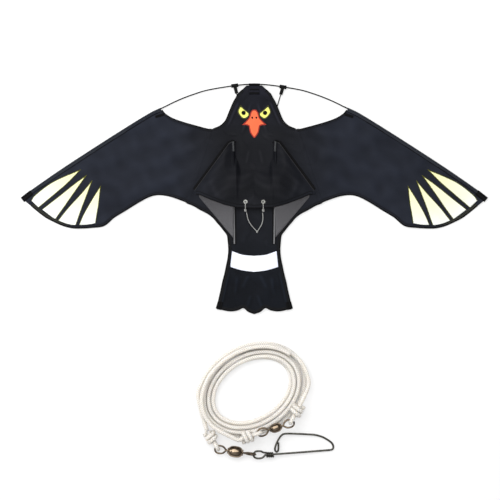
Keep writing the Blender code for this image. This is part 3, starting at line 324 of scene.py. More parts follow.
def weave_group():
    """Ripstop cloth: fine threads, heavier threads in a 5 mm grid, and a cloudy mottled tone, partly a
    painted sheen.

    Threads are absolute sines of x and y. The heavy threads are where the
    distance to the nearest 5 mm line is small. The cloud is the mean of a broad
    noise and a noise stretched along a slant, spread between 0 and 1.
    """
    n, into, out = group("Ripstop", "Vector", {"Pitch": 0.00045, "Grid": 0.005},
                         ("Height", "Tone", "Cloud"))
    x, y, _ = n.split(into["Vector"])
    threads, lines = [], []
    for axis in (x, y):
        turns = n.math("MULTIPLY", n.math("DIVIDE", axis, into["Pitch"]), math.pi)
        threads.append(n.math("ABSOLUTE", n.math("SINE", turns)))
        cell = n.math("FRACT", n.math("DIVIDE", axis, into["Grid"]))
        near = n.math("ABSOLUTE", n.math("SUBTRACT", cell, 0.5))
        lines.append(n.math("GREATER_THAN", near, 0.44))
    heavy = n.math("MAXIMUM", *lines)
    height = n.math("MULTIPLY_ADD", heavy, 0.6, n.math("MAXIMUM", *threads))
    # the noise clouds give a mottled tone that is partly a painted sheen
    cloud = n.noise(into["Vector"], 9.0, 4.0)
    speck = n.noise(into["Vector"], 900.0, 1.0)
    tone = n.math("MULTIPLY_ADD", heavy, 0.22, n.math("MULTIPLY_ADD", speck, 0.25, cloud))
    away = n.math("ABSOLUTE", x)
    slant = n.add("CombineXYZ")
    n.link(n.math("MULTIPLY_ADD", y, -0.12, n.math("MULTIPLY", away, 0.24)), slant.inputs[0])
    n.link(n.math("MULTIPLY_ADD", away, 0.30, y), slant.inputs[1])
    streak = n.noise(slant.outputs[0], 24.0, 2.0)
    both = n.math("ADD", n.noise(into["Vector"], 5.0, 1.0), streak)
    n.link(height, out["Height"])
    n.link(tone, out["Tone"])
    n.link(n.within(n.math("MULTIPLY_ADD", both, 2.0, -1.5)), out["Cloud"])
    return n.tree


def stitch_group():
    """Two rows of stitches along a tape: U is metres along it, V runs 0 to 1 across."""
    n, into, out = group("Stitch rows", "UV", {"Length": 0.0026, "Row": 0.30},
                         ("Mask", "Rib"))
    u, v, _ = n.split(into["UV"])
    off = n.math("ABSOLUTE", n.math("SUBTRACT", v, 0.5))
    row = n.math("ABSOLUTE", n.math("SUBTRACT", off, into["Row"]))
    cell = n.math("FRACT", n.math("DIVIDE", u, into["Length"]))
    n.link(n.math("MULTIPLY", n.math("LESS_THAN", row, 0.045),
                  n.math("LESS_THAN", cell, 0.72)), out["Mask"])
    wave = n.math("SINE", n.math("MULTIPLY", u, math.pi / 0.0009))
    n.link(n.math("ABSOLUTE", wave), out["Rib"])
    return n.tree


def braid_group():
    """Diamond braid: two sets of strands wind opposite ways and pass over and under.

    U is metres along the cord and V its share of a turn. Each set is a sine of
    (turns times V plus or minus U over the pitch). The larger of the two sines is
    the strand on top, and where it is small there is a gap.
    """
    n, into, out = group("Braid", "UV", {"Pitch": 0.013, "Carriers": 4.0},
                         ("Height", "Tone", "Gap"))
    u, v, _ = n.split(into["UV"])
    along = n.math("MULTIPLY", n.math("DIVIDE", u, into["Pitch"]), into["Carriers"])
    turn = n.math("MULTIPLY", v, into["Carriers"])
    sets = []
    for kind in ("ADD", "SUBTRACT"):
        phase = n.math("MULTIPLY", n.math(kind, turn, along), math.pi)
        sets.append(n.math("ABSOLUTE", n.math("SINE", phase)))
    over = n.math("MAXIMUM", *sets)
    n.link(n.math("MULTIPLY_ADD", n.math("MINIMUM", *sets), 0.5, over), out["Height"])
    # the tone is pale on a strand's crown and dark at its edges: painted shade
    n.link(n.math("POWER", over, 2.0), out["Tone"])
    n.link(n.math("LESS_THAN", over, 0.62), out["Gap"])
    return n.tree


RIPSTOP, STITCH, BRAID = weave_group(), stitch_group(), braid_group()


class Look(Nodes):
    """A Principled material with a few one-line ways to wire it."""

    def __init__(self, name, colour, rough, metallic=0.0, **sockets):
        self.mat = bpy.data.materials.new(name)
        self.mat.use_nodes = True
        super().__init__(self.mat.node_tree)
        self.shader = self.tree.nodes["Principled BSDF"].inputs
        self.link(colour, self.shader["Base Color"])
        self.link(rough, self.shader["Roughness"])
        self.link(metallic, self.shader["Metallic"])
        for key, value in sockets.items():
            self.shader[key.replace("_", " ")].default_value = value
        self.coord = self.add("TexCoord").outputs

    def use(self, tree, source="Object", **values):
        """Add a pattern group fed by Object coordinates or by UVs."""
        node = self.add("Group")
        node.node_tree = tree
        self.link(self.coord[source], node.inputs[0])
        for key, value in values.items():
            self.link(value, node.inputs[key])
        return node.outputs

    def ramp(self, value, stops, target="Base Color"):
        """Map a value to colours and feed it to a socket."""
        node = self.add("ValToRGB")
        ends = node.color_ramp.elements
        while len(ends) < len(stops):
            ends.new(0.5)
        for end, (spot, colour) in zip(ends, stops):
            end.position = spot
            end.color = (*colour, 1)
        self.link(value, node.inputs[0])
        if target:
            self.link(node.outputs[0], self.shader[target])
        return node.outputs[0]

    def mix(self, factor, first, second, target="Base Color"):
        """Blend two colours by a mask; a colour is a tuple or a socket."""
        node = self.add("Mix")
        node.data_type = "RGBA"
        for value, k in ((factor, 0), (first, 6), (second, 7)):
            self.link(value, node.inputs[k])
        if target:
            self.link(node.outputs[2], self.shader[target])
        return node.outputs[2]

    def bump(self, height, distance, strength):
        """Raise the surface by a height, in metres."""
        node = self.add("Bump")
        for label, value in (("Distance", distance), ("Strength", strength),
                             ("Height", height)):
            self.link(value, node.inputs[label])
        self.link(node.outputs[0], self.shader["Normal"])


# %% [markdown]
# ## Materials
#
# Cloth is nearly black with a blue cast and a low sheen. Its weave, its heavier
# grid threads and a slow cloudy change of tone come from the Ripstop group.


# %%
def cloth_look(name, middle, wing, rough=0.6):
    """Ripstop cloth: blacker at the middle, bluer at the wings, the head and the tail.

    Its tone goes from painted shade in a valley to a painted highlight on a ridge, by the fold shading value
    of each point and by the weave's slow cloud, partly a painted sheen.
    """
    look = Look(name, middle, rough, Specular_IOR_Level=0.07)
    out = look.use(RIPSTOP)
    x, y, _ = look.split(look.coord["Object"])
    far = look.math("MULTIPLY_ADD", look.math("ABSOLUTE", x), 8.0, -0.56)
    far = look.within(far)
    dark = look.mix(far, tuple(0.45 * c for c in middle), tuple(0.60 * c for c in wing), None)
    pale = look.mix(far, tuple(4.2 * c for c in middle), tuple(1.75 * c for c in wing), None)
    # painted light: the fold shading value shades the valleys and lights the ridges
    crease = look.add("Attribute")
    crease.attribute_name = "FoldShading"
    shade = look.math("MULTIPLY_ADD", crease.outputs["Fac"], 0.7,
                      look.math("MULTIPLY", out["Cloud"], 0.3))
    near = look.math("SUBTRACT", 1.0, far)
    # the head and the tail take bluer colours for their painted shade and painted highlight
    for slope, rise, most, tint in ((-4.0, 0.15, 0.95, (0.0005, 0.0014, 0.0031)),
                                    (8.0, -1.2, 0.5, (0.0050, 0.0052, 0.0110))):
        share = look.math("MULTIPLY_ADD", y, slope, rise)
        share = look.within(share, high=most)
        share = look.math("MULTIPLY", share, near)
        dark = look.mix(share, dark, tuple(0.4 * c for c in tint), None)
        pale = look.mix(share, pale, tuple(3.2 * c + 0.0030 for c in tint), None)
    curve = look.math("MULTIPLY_ADD", far, -1.0, 2.2)
    tone = look.mix(look.math("POWER", shade, curve), dark, pale, None)
    lift = look.math("MULTIPLY", out["Tone"], 0.22)
    look.mix(lift, tone, tuple(2.0 * c for c in wing))
    look.bump(out["Height"], 0.00012, 0.35)
    return look.mat


def tape_look(name, colour, thread):
    """Binding tape: cross ribs and two rows of stitches in a thread colour."""
    look = Look(name, colour, 0.8, Specular_IOR_Level=0.08)
    out = look.use(STITCH, "UV")
    look.mix(out["Mask"], colour, thread)
    height = look.math("MULTIPLY_ADD", out["Mask"], 1.6, out["Rib"])
    look.bump(height, 0.00012, 0.5)
    return look.mat


def hem_look():
    """Hem cloth: V runs from the inner seam (0) over the edge (0.5) to the back (1).

    A dark fold follows the very edge, thread rows lie on both flaps, and past the
    feathers the hem is paler, because the pale cloth is folded into it.
    """
    look = Look("binding_tape", (0.009, 0.0096, 0.0125), 0.7, Specular_IOR_Level=0.08)
    out = look.use(STITCH, "UV", Row=0.36)
    x, _, _ = look.split(look.coord["Object"])
    _, v, _ = look.split(look.coord["UV"])
    away = look.math("ABSOLUTE", x)
    wing = look.within(look.math("MULTIPLY_ADD", away, 8.0, -0.7))
    cloth = look.mix(wing, (0.0078, 0.0082, 0.0098), (0.0110, 0.0125, 0.0185), None)
    tip = look.within(look.math("MULTIPLY_ADD", away, 40.0, -17.4), high=0.9)
    cloth = look.mix(tip, cloth, (0.034, 0.035, 0.027), None)
    sewn = look.mix(out["Mask"], cloth, (0.0035, 0.0035, 0.0040), None)
    off = look.math("ABSOLUTE", look.math("SUBTRACT", v, 0.5))
    edge = look.math("LESS_THAN", off, 0.19)
    look.mix(edge, sewn, (0.0022, 0.0022, 0.0024))
    look.bump(look.math("MULTIPLY_ADD", out["Mask"], 1.6, out["Rib"]), 0.00012, 0.4)
    return look.mat


def pale_look():
    """Feather cloth: warm at the tip and white at the wide end, with a faint weave."""
    look = Look("pale_cloth", (1, 1, 0.8), 0.7, Specular_IOR_Level=0.15)
    u, v, _ = look.split(look.coord["UV"])
    tint = look.ramp(u, [(0.0, (0.80, 0.79, 0.34)), (0.35, (0.84, 0.84, 0.52)),
                         (0.8, (0.85, 0.87, 0.71)), (1.0, (0.86, 0.88, 0.84))], None)
    out = look.use(RIPSTOP)
    tint = look.mix(look.math("MULTIPLY", out["Tone"], 0.2), tint,
                    (0.72, 0.74, 0.62), None)
    look.mix(look.math("LESS_THAN", v, 0.0016), tint, (0.085, 0.085, 0.005))
    look.bump(out["Height"], 0.0001, 0.3)
    return look.mat


def band_look():
    """Tail band cloth: plain white with a cool cast toward its ends."""
    look = Look("white_band", (0.84, 0.86, 0.93), 0.7, Specular_IOR_Level=0.15)
    x, _, _ = look.split(look.coord["Object"])
    end = look.math("MULTIPLY", look.math("ABSOLUTE", x), 17.0)
    tint = look.mix(end, (0.90, 0.92, 0.95), (0.74, 0.77, 0.92), None)
    out = look.use(RIPSTOP)
    look.mix(look.math("MULTIPLY", out["Tone"], 0.15), tint, (0.68, 0.70, 0.78))
    look.bump(out["Height"], 0.0001, 0.3)
    return look.mat


def patch_look(name, colour, edge, width):
    """Printed patch: V is the distance in from its edge, and the rim takes a line."""
    look = Look(name, colour, 0.55, Specular_IOR_Level=0.25)
    _, v, _ = look.split(look.coord["UV"])
    out = look.use(RIPSTOP)
    body = look.mix(look.math("MULTIPLY", out["Tone"], 0.25), colour,
                    tuple(c * 0.75 for c in colour), None)
    rim = look.math("LESS_THAN", v, width)
    look.mix(rim, body, edge)
    look.bump(out["Height"], 0.0001, 0.25)
    return look.mat


def rod_look(name, colour, rough, gloss=0.18):
    """Drawn fibre rod: fine lines along its length and small scuffs."""
    look = Look(name, colour, rough, Specular_IOR_Level=gloss)
    lines = look.noise(look.coord["Object"], 700.0, 2.0)
    look.ramp(lines, [(0.3, colour), (0.8, tuple(c * 1.7 + 0.002 for c in colour))])
    scuff = look.noise(look.coord["Object"], 160.0, 3.0)
    look.link(look.math("MULTIPLY_ADD", scuff, 0.3, rough - 0.1), look.shader["Roughness"])
    return look.mat


def metal_look(name, dark, light, rough, scale=260.0):
    """Metal with cloudy tarnish: darker and rougher in the patches."""
    look = Look(name, light, rough, 1.0)
    cloud = look.noise(look.coord["Object"], scale, 4.0)
    look.ramp(cloud, [(0.32, dark), (0.68, light)])
    look.link(look.math("MULTIPLY_ADD", cloud, -0.25, rough + 0.14), look.shader["Roughness"])
    grain = look.noise(look.coord["Object"], 2400.0, 2.0)
    look.bump(grain, 0.00005, 0.2)
    return look.mat


def mesh_look():
    """Net: a grid of grey threads, paler lower down, with near black holes."""
    look = Look("mesh_cloth", (0.13, 0.13, 0.14), 0.85, Specular_IOR_Level=0.15)
    x, y, _ = look.split(look.coord["Object"])
    threads = []
    for axis in (x, y):
        cell = look.math("FRACT", look.math("DIVIDE", axis, 0.0013))
        threads.append(look.math("ABSOLUTE", look.math("SUBTRACT", cell, 0.5)))
    thread = look.math("MAXIMUM", threads[0], threads[1])
    solid = look.math("GREATER_THAN", thread, 0.30)
    low = look.ramp(look.math("MULTIPLY_ADD", y, -9.0, 0.15),
                    [(0.0, (0.055, 0.054, 0.058)), (0.45, (0.11, 0.108, 0.115)),
                     (1.0, (0.15, 0.148, 0.158))], None)
    look.mix(solid, (0.022, 0.022, 0.024), low)
    look.bump(thread, 0.0003, 0.6)
    return look.mat


def braid_look(name, dark, light, pitch, depth, **more):
    """Braided cord: pale strands with painted shade toward their edges, and darker painted shade in the
    deeper gaps between them.
    """
    look = Look(name, light, 0.5, Specular_IOR_Level=0.2, **more)
    out = look.use(BRAID, "UV", Pitch=pitch)
    tone = look.ramp(out["Tone"], [(0.15, dark), (0.85, light)], None)
    look.mix(look.math("MULTIPLY", out["Gap"], 0.55), tone,
             tuple(c * 0.68 for c in dark))
    look.bump(out["Height"], depth, 0.6)
    return look.mat


SAILCLOTH = cloth_look("sail_cloth_black", (0.0039, 0.0038, 0.0043), (0.0096, 0.0113, 0.0172))
SLEEVE_CLOTH = cloth_look("sleeve_cloth", (0.013, 0.0135, 0.0155), (0.015, 0.017, 0.022), 0.55)
HEM_CLOTH = hem_look()
TAPE = tape_look("black_webbing", (0.0032, 0.0032, 0.0036), (0.008, 0.008, 0.009))
# pale tape for the belly's side edges: its colour is a painted highlight on their fold
EDGE_HIGHLIGHT = tape_look("edge_piping", (0.026, 0.026, 0.028), (0.045, 0.045, 0.046))
PALE = pale_look()
WHITE = band_look()
YELLOW = patch_look("eye_print", (0.80, 0.80, 0.17), (0.035, 0.037, 0.006), 0.0027)
ORANGE = patch_look("beak_print", (0.86, 0.138, 0.044), (0.32, 0.020, 0.006), 0.0026)
OLIVE = tape_look("olive_print", (0.07, 0.07, 0.012), (0.07, 0.07, 0.012))
BLACK = tape_look("black_print", (0.004, 0.004, 0.004), (0.004, 0.004, 0.004))
ROD = rod_look("fibre_rod", (0.003, 0.003, 0.003), 0.4, 0.08)
GREY_ROD = rod_look("grey_fibre_rod", (0.115, 0.115, 0.12), 0.35)
VINYL = rod_look("vinyl_tube", (0.0025, 0.0025, 0.0025), 0.35, 0.06)
CAP_SHEEN = rod_look("pocket_sheen", (0.022, 0.023, 0.025), 0.26)
SHINE = metal_look("plated_metal", (0.07, 0.07, 0.065), (0.19, 0.19, 0.18), 0.25)
BRONZE = metal_look("dark_bronze", (0.06, 0.042, 0.028), (0.31, 0.24, 0.17), 0.04, 60.0)
WIRE = metal_look("spring_wire", (0.028, 0.026, 0.022), (0.12, 0.115, 0.10), 0.22)
GOLD = metal_look("bronze_wire", (0.040, 0.028, 0.018), (0.20, 0.15, 0.105), 0.10, 60.0)
NET = mesh_look()
LINE = braid_look("thin_line", (0.20, 0.20, 0.195), (0.40, 0.40, 0.385), 0.004, 0.0002)
CORD = braid_look("hollow_braid", (0.60, 0.56, 0.505), (0.80, 0.755, 0.695), 0.020, 0.0007,
                  Subsurface_Weight=0.9, Subsurface_Scale=0.016,
                  Subsurface_Radius=(1.0, 0.94, 0.85))


# %% [markdown]
# ## The sail's surface
#
# One function gives the height of the cloth everywhere: a flat body, wings that
# droop a little from their seams until the tips meet the floor, and soft folds.
# Folds are sums of sine waves whose phase bends slowly. They fade over the rods.


# %%
KEEL_X, KEEL_Y, KEEL_LEAN = 0.0475, -0.107, 0.0155
KEEL_LOW, KEEL_HIGH = -0.125, 0.15
DRAW, DRAW_REACH, DRAW_PITCH = 0.0011, 0.10, 0.052
SHADING_DEPTH = 0.00045
# the belly panel's side edge, and how far its painted shadow reaches on the sail
PANEL_SIDE = place([(0.107, 0.242), (0.261, 0.031)])
SHADE_REACH = 0.012


def folds(x, y):
    """Soft folds: each wave is a sine across the cloth with a slowly bent phase."""
    z = np.zeros_like(x)
    for angle, span, phase, amp in ((18, 0.061, 0.3, 0.30), (71, 0.083, 1.9, 0.34),
                                    (112, 0.047, 4.0, 0.22), (150, 0.120, 2.2, 0.40),
                                    (42, 0.034, 5.1, 0.10), (95, 0.210, 0.9, 0.42)):
        a = math.radians(angle)
        along = x * math.cos(a) + y * math.sin(a)
        across = -x * math.sin(a) + y * math.cos(a)
        z += amp * np.sin(2 * math.pi * along / span + phase
                          + 1.1 * np.sin(2 * math.pi * across / (2.3 * span) + phase))
    return z * 0.001


# each tuck is x and y of its two ends, its width and its height
TUCKS = [(0.058, -0.165, 0.079, -0.262, 0.0022, 0.0007),
         (0.006, 0.232, 0.030, 0.150, 0.0035, 0.0005),
         (0.034, 0.236, 0.064, 0.168, 0.0030, 0.0006),
         (0.012, -0.176, 0.030, -0.215, 0.0060, 0.0007),
         (0.040, -0.178, 0.046, -0.232, 0.0050, 0.0006),
         (0.020, -0.262, 0.006, -0.222, 0.0045, 0.0005),
         (0.012, 0.120, 0.020, 0.078, 0.0040, 0.0004)]


def tucks(x, y):
    """Ridges with a round top: long tucks on the head, the chest and the tail."""
    z = np.zeros_like(x)
    for x0, y0, x1, y1, width, height in TUCKS:
        way = np.array([x1 - x0, y1 - y0])
        reach = np.hypot(*way)
        way = way / reach
        for hand in (1, -1):
            along = (hand * x - x0) * way[0] + (y - y0) * way[1]
            off = (hand * x - x0) * way[1] - (y - y0) * way[0]
            ends = ease(along / (0.3 * reach)) * ease((reach - along) / (0.3 * reach))
            z += height * np.exp(-(off / width) ** 2) * ends
    return z


def wing_out(x, y):
    """Distance outward from the wing's seam, in metres."""
    return (np.abs(x) - HINGE_TOP[0]) * HINGE_OUT[0] + (y - HINGE_TOP[1]) * HINGE_OUT[1]


def wing_base(x, y):
    """Height of the sail without its folds: level at the body, drooping at the wings."""
    return SAIL_Z - np.maximum(wing_out(x, y), 0) * math.tan(DROOP)


def sail(x, y):
    """Height of the middle of the cloth over the floor.

    The body's folds only rise, and they leave a strip clear beside each keel rod.
    The wings take both signs, with short waves drawn in from the seam as well.
    """
    x, y = np.asarray(x, float), np.asarray(y, float)
    out = wing_out(x, y)
    wave = folds(x, y)
    wing = ease(out / 0.05)
    keel = KEEL_X + (y - KEEL_Y) * KEEL_LEAN
    clear = ease((np.abs(np.abs(x) - keel) - 0.006) / 0.02)
    clear = np.where((y > KEEL_LOW) & (y < KEEL_HIGH), clear, 1.0)
    low = np.maximum(wave, 0) * 1.1 * clear
    base = wing_base(x, y)
    pull = DRAW * np.exp(-np.maximum(out, 0) / DRAW_REACH) * np.sin(
        2 * math.pi * (y + 0.35 * np.abs(x)) / DRAW_PITCH)
    top = np.maximum(wave * 1.9 + pull * 1.4, 0.0011 - base)
    return base + (low + tucks(x, y)) * (1 - wing) + top * wing


def fold_shading_of(x, y, step=0.005):
    """Fold shading value of the sail, painted light: how far it stands over the mean of four neighbours.

    It is lower beside the belly panel's side edges: a painted shadow of the panel's rise on the sail.
    """
    around = (sail(x + step, y) + sail(x - step, y) + sail(x, y + step) + sail(x, y - step)) / 4
    (ax, ay), (bx, by) = PANEL_SIDE
    share = np.clip(((np.abs(x) - ax) * (bx - ax) + (y - ay) * (by - ay))
                    / ((bx - ax) ** 2 + (by - ay) ** 2), 0, 1)
    off = np.hypot(np.abs(x) - ax - share * (bx - ax), y - ay - share * (by - ay))
    # painted shadow of the raised panel on the sail beside its side edges
    shade = 0.5 * np.exp(-(off / SHADE_REACH) ** 2)
    return 0.5 + (sail(x, y) - around) / SHADING_DEPTH - shade


def lay(name, points, lift, look, uv=None, depth=CLOTH):
    """Lay a flat grid of points on the sail at a lift and give it a thickness."""
    x, y = points[..., 0], points[..., 1]
    z = sail(x, y) + lift
    sheet = grid(name, np.stack([x, y, z], -1), uv, look)
    return thick(paint_fold_shading(sheet, fold_shading_of(x, y)), depth)


def between(first, second, rows):
    """Straight threads from one edge to the other make a grid."""
    t = np.linspace(0, 1, rows)[:, None, None]
    return first[None] * (1 - t) + second[None] * t


BODIES = {1: "right_wing", -1: "left_wing"}
SIDES = ((1, "right"), (-1, "left"))


def dress(obj, slot, body, *nodes):
    """Give a piece its body and the solids that it stands for. The slot is not used.

    A side, 1 or -1, in place of a body lets the piece follow that wing, and the part
    of it by the seam bends between the wing and the frame.
    """
    if nodes:
        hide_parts(*nodes)
    if body not in BODIES:
        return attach(obj, body)
    middle = (HINGE_TOP + HINGE_LOW) / 2
    start = middle - HINGE_OUT * 0.001
    end = middle + HINGE_OUT * 0.016
    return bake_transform(obj, "frame", BODIES[body], start=(body * start[0], start[1], SAIL_Z),
                    end=(body * end[0], end[1], SAIL_Z))


def body_points(rows=250, cols=110):
    """Body cloth: rows run across from side to side, from head to scalloped tail."""
    side = np.vstack([smooth(place(HEAD_SIDE[1:-1]), 4), place([HEAD_SIDE[-1]]),
                      smooth(place(BODY_SIDE), 4)])
    drop = np.linspace(side[0, 1], side[-1, 1], rows)
    half = np.interp(-drop, -side[:, 1], side[:, 0])
    s = np.linspace(-1, 1, cols)
    x = half[:, None] * s[None]
    tail = smooth(place(TAIL), 6)[::-1]
    scallop = np.interp(np.abs(x[-1]), tail[:, 0], tail[:, 1]) - side[-1, 1]
    near = ease((np.linspace(0, 1, rows) - 0.8) / 0.2)
    y = drop[:, None] + near[:, None] * scallop[None]
    return np.stack([x, y], -1)


body_cloth = lay("body_cloth", body_points(), 0.0, SAILCLOTH)
dress(body_cloth, "sail_cloth", "frame", "body_sail")


# %% [markdown]
# Each wing's cloth runs from its top and leading edge to its trailing edge and
# round tip. The threads between the two edges make the grid.

# %%
for side, label in SIDES:
    lead = smooth(place(LEADING), 8)
    tuck = lead + sideways(lead) * -0.0055
    top = np.vstack([smooth(place(WING_TOP[:-2]), 6), tuck])
    low = smooth(place((TIP_ARC + TRAILING)[::-1]), 6)
    points = between(even(top, 250), even(low, 250), 74)
    points[..., 0] *= side
    cloth = lay(label + "_wing_cloth", points, 0.0, SAILCLOTH)
    dress(cloth, "sail_cloth", side, label + "_wing_sail")


# %% [markdown]
# A narrow lap of the same cloth covers the seam between body and wing.

# %%
for side, label in SIDES:
    t = np.linspace(0.004, 0.985, 130)[:, None]
    seam = HINGE_TOP + (HINGE_LOW - HINGE_TOP) * t
    across = np.linspace(-1, 1, 9)
    points = seam[:, None] + HINGE_OUT * 0.0045 * across[None, :, None]
    points[..., 0] *= side
    lap = lay(label + "_seam_lap", points, 0.00005 + 0.00028 * (1 - across ** 2), SAILCLOTH,
              depth=0.0002)
    dress(lap, "sail_cloth", side)

# %% [markdown]
# ## Binding tape, sleeves and pockets
#
# A binding is a tape folded over the cloth's edge: a wide flap on the belly
# side, a short turn round the edge and a flap behind. The leading edge sleeve
# is the same fold round a rod, and the pockets are wider folds over that.

# %%
def fold(name, path, profile, look, side=1, base=None, depth=0.0003, waver=0.0):
    """Sweep a profile of (distance inward, height) along a flat path on the sail."""
    path = np.array(path, float)
    left = sideways(path)
    prof = np.array(profile, float)
    s = walked(path)
    flat = path[:, None] - left[:, None] * prof[None, :, :1]
    wobble = waver * np.sin(s[:, None] / 0.0065 + 3 * np.sin(s[:, None] / 0.021))
    height = prof[None, :, 1] * (1 + wobble)
    x, y = flat[..., 0], flat[..., 1]
    z = (sail(side * x, y) if base is None else base(x, y)) + height
    pts = np.stack([side * x, y, z], -1)
    across = walked(prof)
    uv = pair(s[:, None], (across / across[-1])[None])
    return thick(grid(name, pts, uv, look), depth)


def binding(width):
    """Profile of a tape folded over an edge, from its inner seam to the back flap."""
    top, under = 0.00048, 0.00034
    return [(width, top * 0.85), (width * 0.93, top * 1.25), (width * 0.85, top),
            (width * 0.5, top), (0.0010, top * 1.1), (0.0, top), (-0.0004, 0.0002),
            (-0.0004, -0.0001), (0.0002, -under), (width * 0.5, -under),
            (width * 0.9, -under)]


def rod_fold(nose, flap, depth):
    """Profile of cloth folded round a rod: flap, round nose, flap."""
    a = np.linspace(math.pi / 2, -math.pi / 2, 9)
    inset = ROD_INSET
    out = [(depth, flap), (depth * 0.8, flap * 1.15), (inset + 1.3 * nose, flap)]
    out += [(inset + 0.5 * nose, nose * 0.8)]
    out += [(inset - nose * math.cos(t), nose * math.sin(t)) for t in a]
    out += [(inset + 0.5 * nose, -nose * 0.8), (inset + 1.3 * nose, -flap), (depth, -flap)]
    return out


HEM = 0.0080
tail_edge = np.vstack([smooth(place(BODY_SIDE), 5)[:-1], smooth(place(TAIL), 6)])
tail_path = np.vstack([tail_edge, (tail_edge * [-1, 1])[::-1][1:]])
tail_tape = fold("tail_binding", even(tail_path, 520), binding(HEM), HEM_CLOTH)
dress(tail_tape, "binding_cloth", "frame", "tail_hem")
for side, label in SIDES:
    head = even(smooth(place(HEAD_SIDE[2:-1]), 5), 110)
    tape = fold(label + "_head_binding", head, binding(HEM * 0.75), HEM_CLOTH, side)
    dress(tape, "binding_cloth", "frame", label + "_head_hem")
    edge = smooth(place(TIP_ARC[1:] + TRAILING), 5)
    tape = fold(label + "_wing_binding", even(edge, 360), binding(HEM), HEM_CLOTH, side)
    dress(tape, "binding_cloth", side, label + "_wing_hem")
    edge = smooth(place(WING_TOP[:-1]), 5)
    tape = fold(label + "_shoulder_binding", even(edge, 120), binding(HEM * 0.75), HEM_CLOTH,
                side)
    dress(tape, "binding_cloth", side)

    lead = even(smooth(place(LEADING), 8), 240)
    sleeve = fold(label + "_sleeve", lead, rod_fold(NOSE, 0.0007, 0.0088),
                  SLEEVE_CLOTH, side, wing_base, CLOTH, 0.05)
    dress(sleeve, "sail_cloth", BODIES[side], label + "_leading_sleeve")
    seam = fold(label + "_sleeve_seam", lead[3:-14], [(0.0098, 0.0004), (0.0091, 0.0012),
                                                      (0.0080, 0.0012)], TAPE, side,
                depth=0.0002)
    dress(seam, "binding_cloth", BODIES[side])
    way = (lead[-1] - lead[-4]) / np.linalg.norm(lead[-1] - lead[-4])
    far = lead[-1] + way * 0.0009
    pocket = even(np.array([far - way * 0.028, far]), 26)
    tip = fold(label + "_tip_cover", pocket, rod_fold(0.0027, 0.0014, 0.0125),
               TAPE, side, wing_base, CLOTH, 0.03)
    dress(tip, "binding_cloth", BODIES[side], label + "_tip_pocket")

head_top = np.array([(x, 0.4955 * BODY + ROD_INSET - abs(x) * 0.02)
                     for x in np.linspace(-0.0132, 0.0132, 31)])
pocket = fold("head_cover", head_top, rod_fold(NOSE, 0.0007, 0.026), SAILCLOTH)
dress(pocket, "binding_cloth", "frame", "head_pocket")
band = fold("head_nose_band", head_top, rod_fold(NOSE + 0.0003, 0.0011, 0.0046),
            TAPE)
dress(band, "binding_cloth", "frame")

# %% [markdown]
# Short dense rows of thread, and small webbing tabs, hold the corners.


# %%
def tack(name, centre, length, width, angle, lift, side=1, body="frame"):
    """A small rectangle of thread or webbing sewn flat on the sail."""
    u = np.linspace(-0.5, 0.5, 19)[None] * length
    v = np.linspace(-0.5, 0.5, 9)[:, None] * width
    c, s = math.cos(angle), math.sin(angle)
    x, y = centre[0] + u * c - v * s, centre[1] + u * s + v * c
    dome = 0.00025 * (1 - (2 * v / width) ** 2) * (1 - (2 * u / length) ** 6)
    z = sail(side * x, y) + lift + dome
    uv = pair(u, v / width + 0.5)
    piece = thick(grid(name, np.stack([side * x, y, z], -1), uv, TAPE), 0.0003)
    dress(piece, "binding_cloth", body)


for name, y, width in (("upper", 0.2573, 0.0031), ("lower", 0.2488, 0.0045)):
    tack("head_thread_" + name, (0.0, y), 0.0215, width, 0.0, 0.0015)
for side, label in SIDES:
    corner = place([(0.4055, 0.3600)])[0]
    tack(label + "_shoulder_tab", corner, 0.021, 0.0062, math.radians(-17), 0.0010, side,
         BODIES[side])
    corner = place([(0.1475, -0.4640)])[0]
    tack(label + "_tail_tab", corner, 0.019, 0.011, math.radians(-78), 0.0010, side)
    low, high = place([(0.085, -0.198), (0.0853, -0.045)])
    tack(label + "_keel_webbing", (low + high) / 2, high[1] - low[1], 0.0082,
         math.radians(90), 0.0004, side)

# %% [markdown]
# ## Pale feathers, tail band, eyes and beak
#
# Each feather is a patch between two edges that meet at a point. It is sewn
# through the wing, so the same shape shows behind.

# %%
FEATHERS = [
    ([(0.742, 0.128), (0.863, 0.074), (0.938, 0.018), (0.957, -0.007)],
     [(0.742, 0.128), (0.798, 0.070), (0.850, 0.024), (0.924, -0.039)], 0.0),
    ([(0.717, 0.104), (0.773, 0.064), (0.836, 0.013), (0.911, -0.046)],
     [(0.717, 0.104), (0.767, 0.033), (0.811, -0.031), (0.853, -0.090)], 0.0),
    ([(0.693, 0.082), (0.742, 0.023), (0.797, -0.037), (0.842, -0.093)],
     [(0.693, 0.082), (0.712, 0.030), (0.736, -0.033), (0.764, -0.113)], 0.008),
    ([(0.658, 0.058), (0.693, 0.002), (0.730, -0.063), (0.752, -0.113)],
     [(0.658, 0.058), (0.667, -0.025), (0.674, -0.065), (0.680, -0.105)], 0.003)]
FEATHER_NAMES = ("first", "second", "third", "fourth")
BAND = ([(0.0, -0.248), (0.05, -0.243), (0.0955, -0.227)],
        [(0.0, -0.317), (0.05, -0.311), (0.1025, -0.296)])
EYE = [(0.057, 0.4), (0.067, 0.377), (0.058, 0.359), (0.045, 0.35), (0.03, 0.357),
       (0.025, 0.37), (0.042, 0.385)]
PUPIL = np.array([0.046 * HALF_SPAN, 0.372 * BODY])
BEAK_ROWS = [(0.384, 0.0), (0.3835, 0.006), (0.38, 0.0095), (0.373, 0.014), (0.362, 0.0168),
             (0.35, 0.02), (0.341, 0.027), (0.332, 0.0345), (0.326, 0.0405), (0.3205, 0.0465),
             (0.3195, 0.0290), (0.316, 0.0210), (0.303, 0.0187), (0.289, 0.016),
             (0.277, 0.0095), (0.268, 0.003), (0.266, 0.0)]
NOSTRIL = np.array([0.009 * HALF_SPAN, 0.351 * BODY])
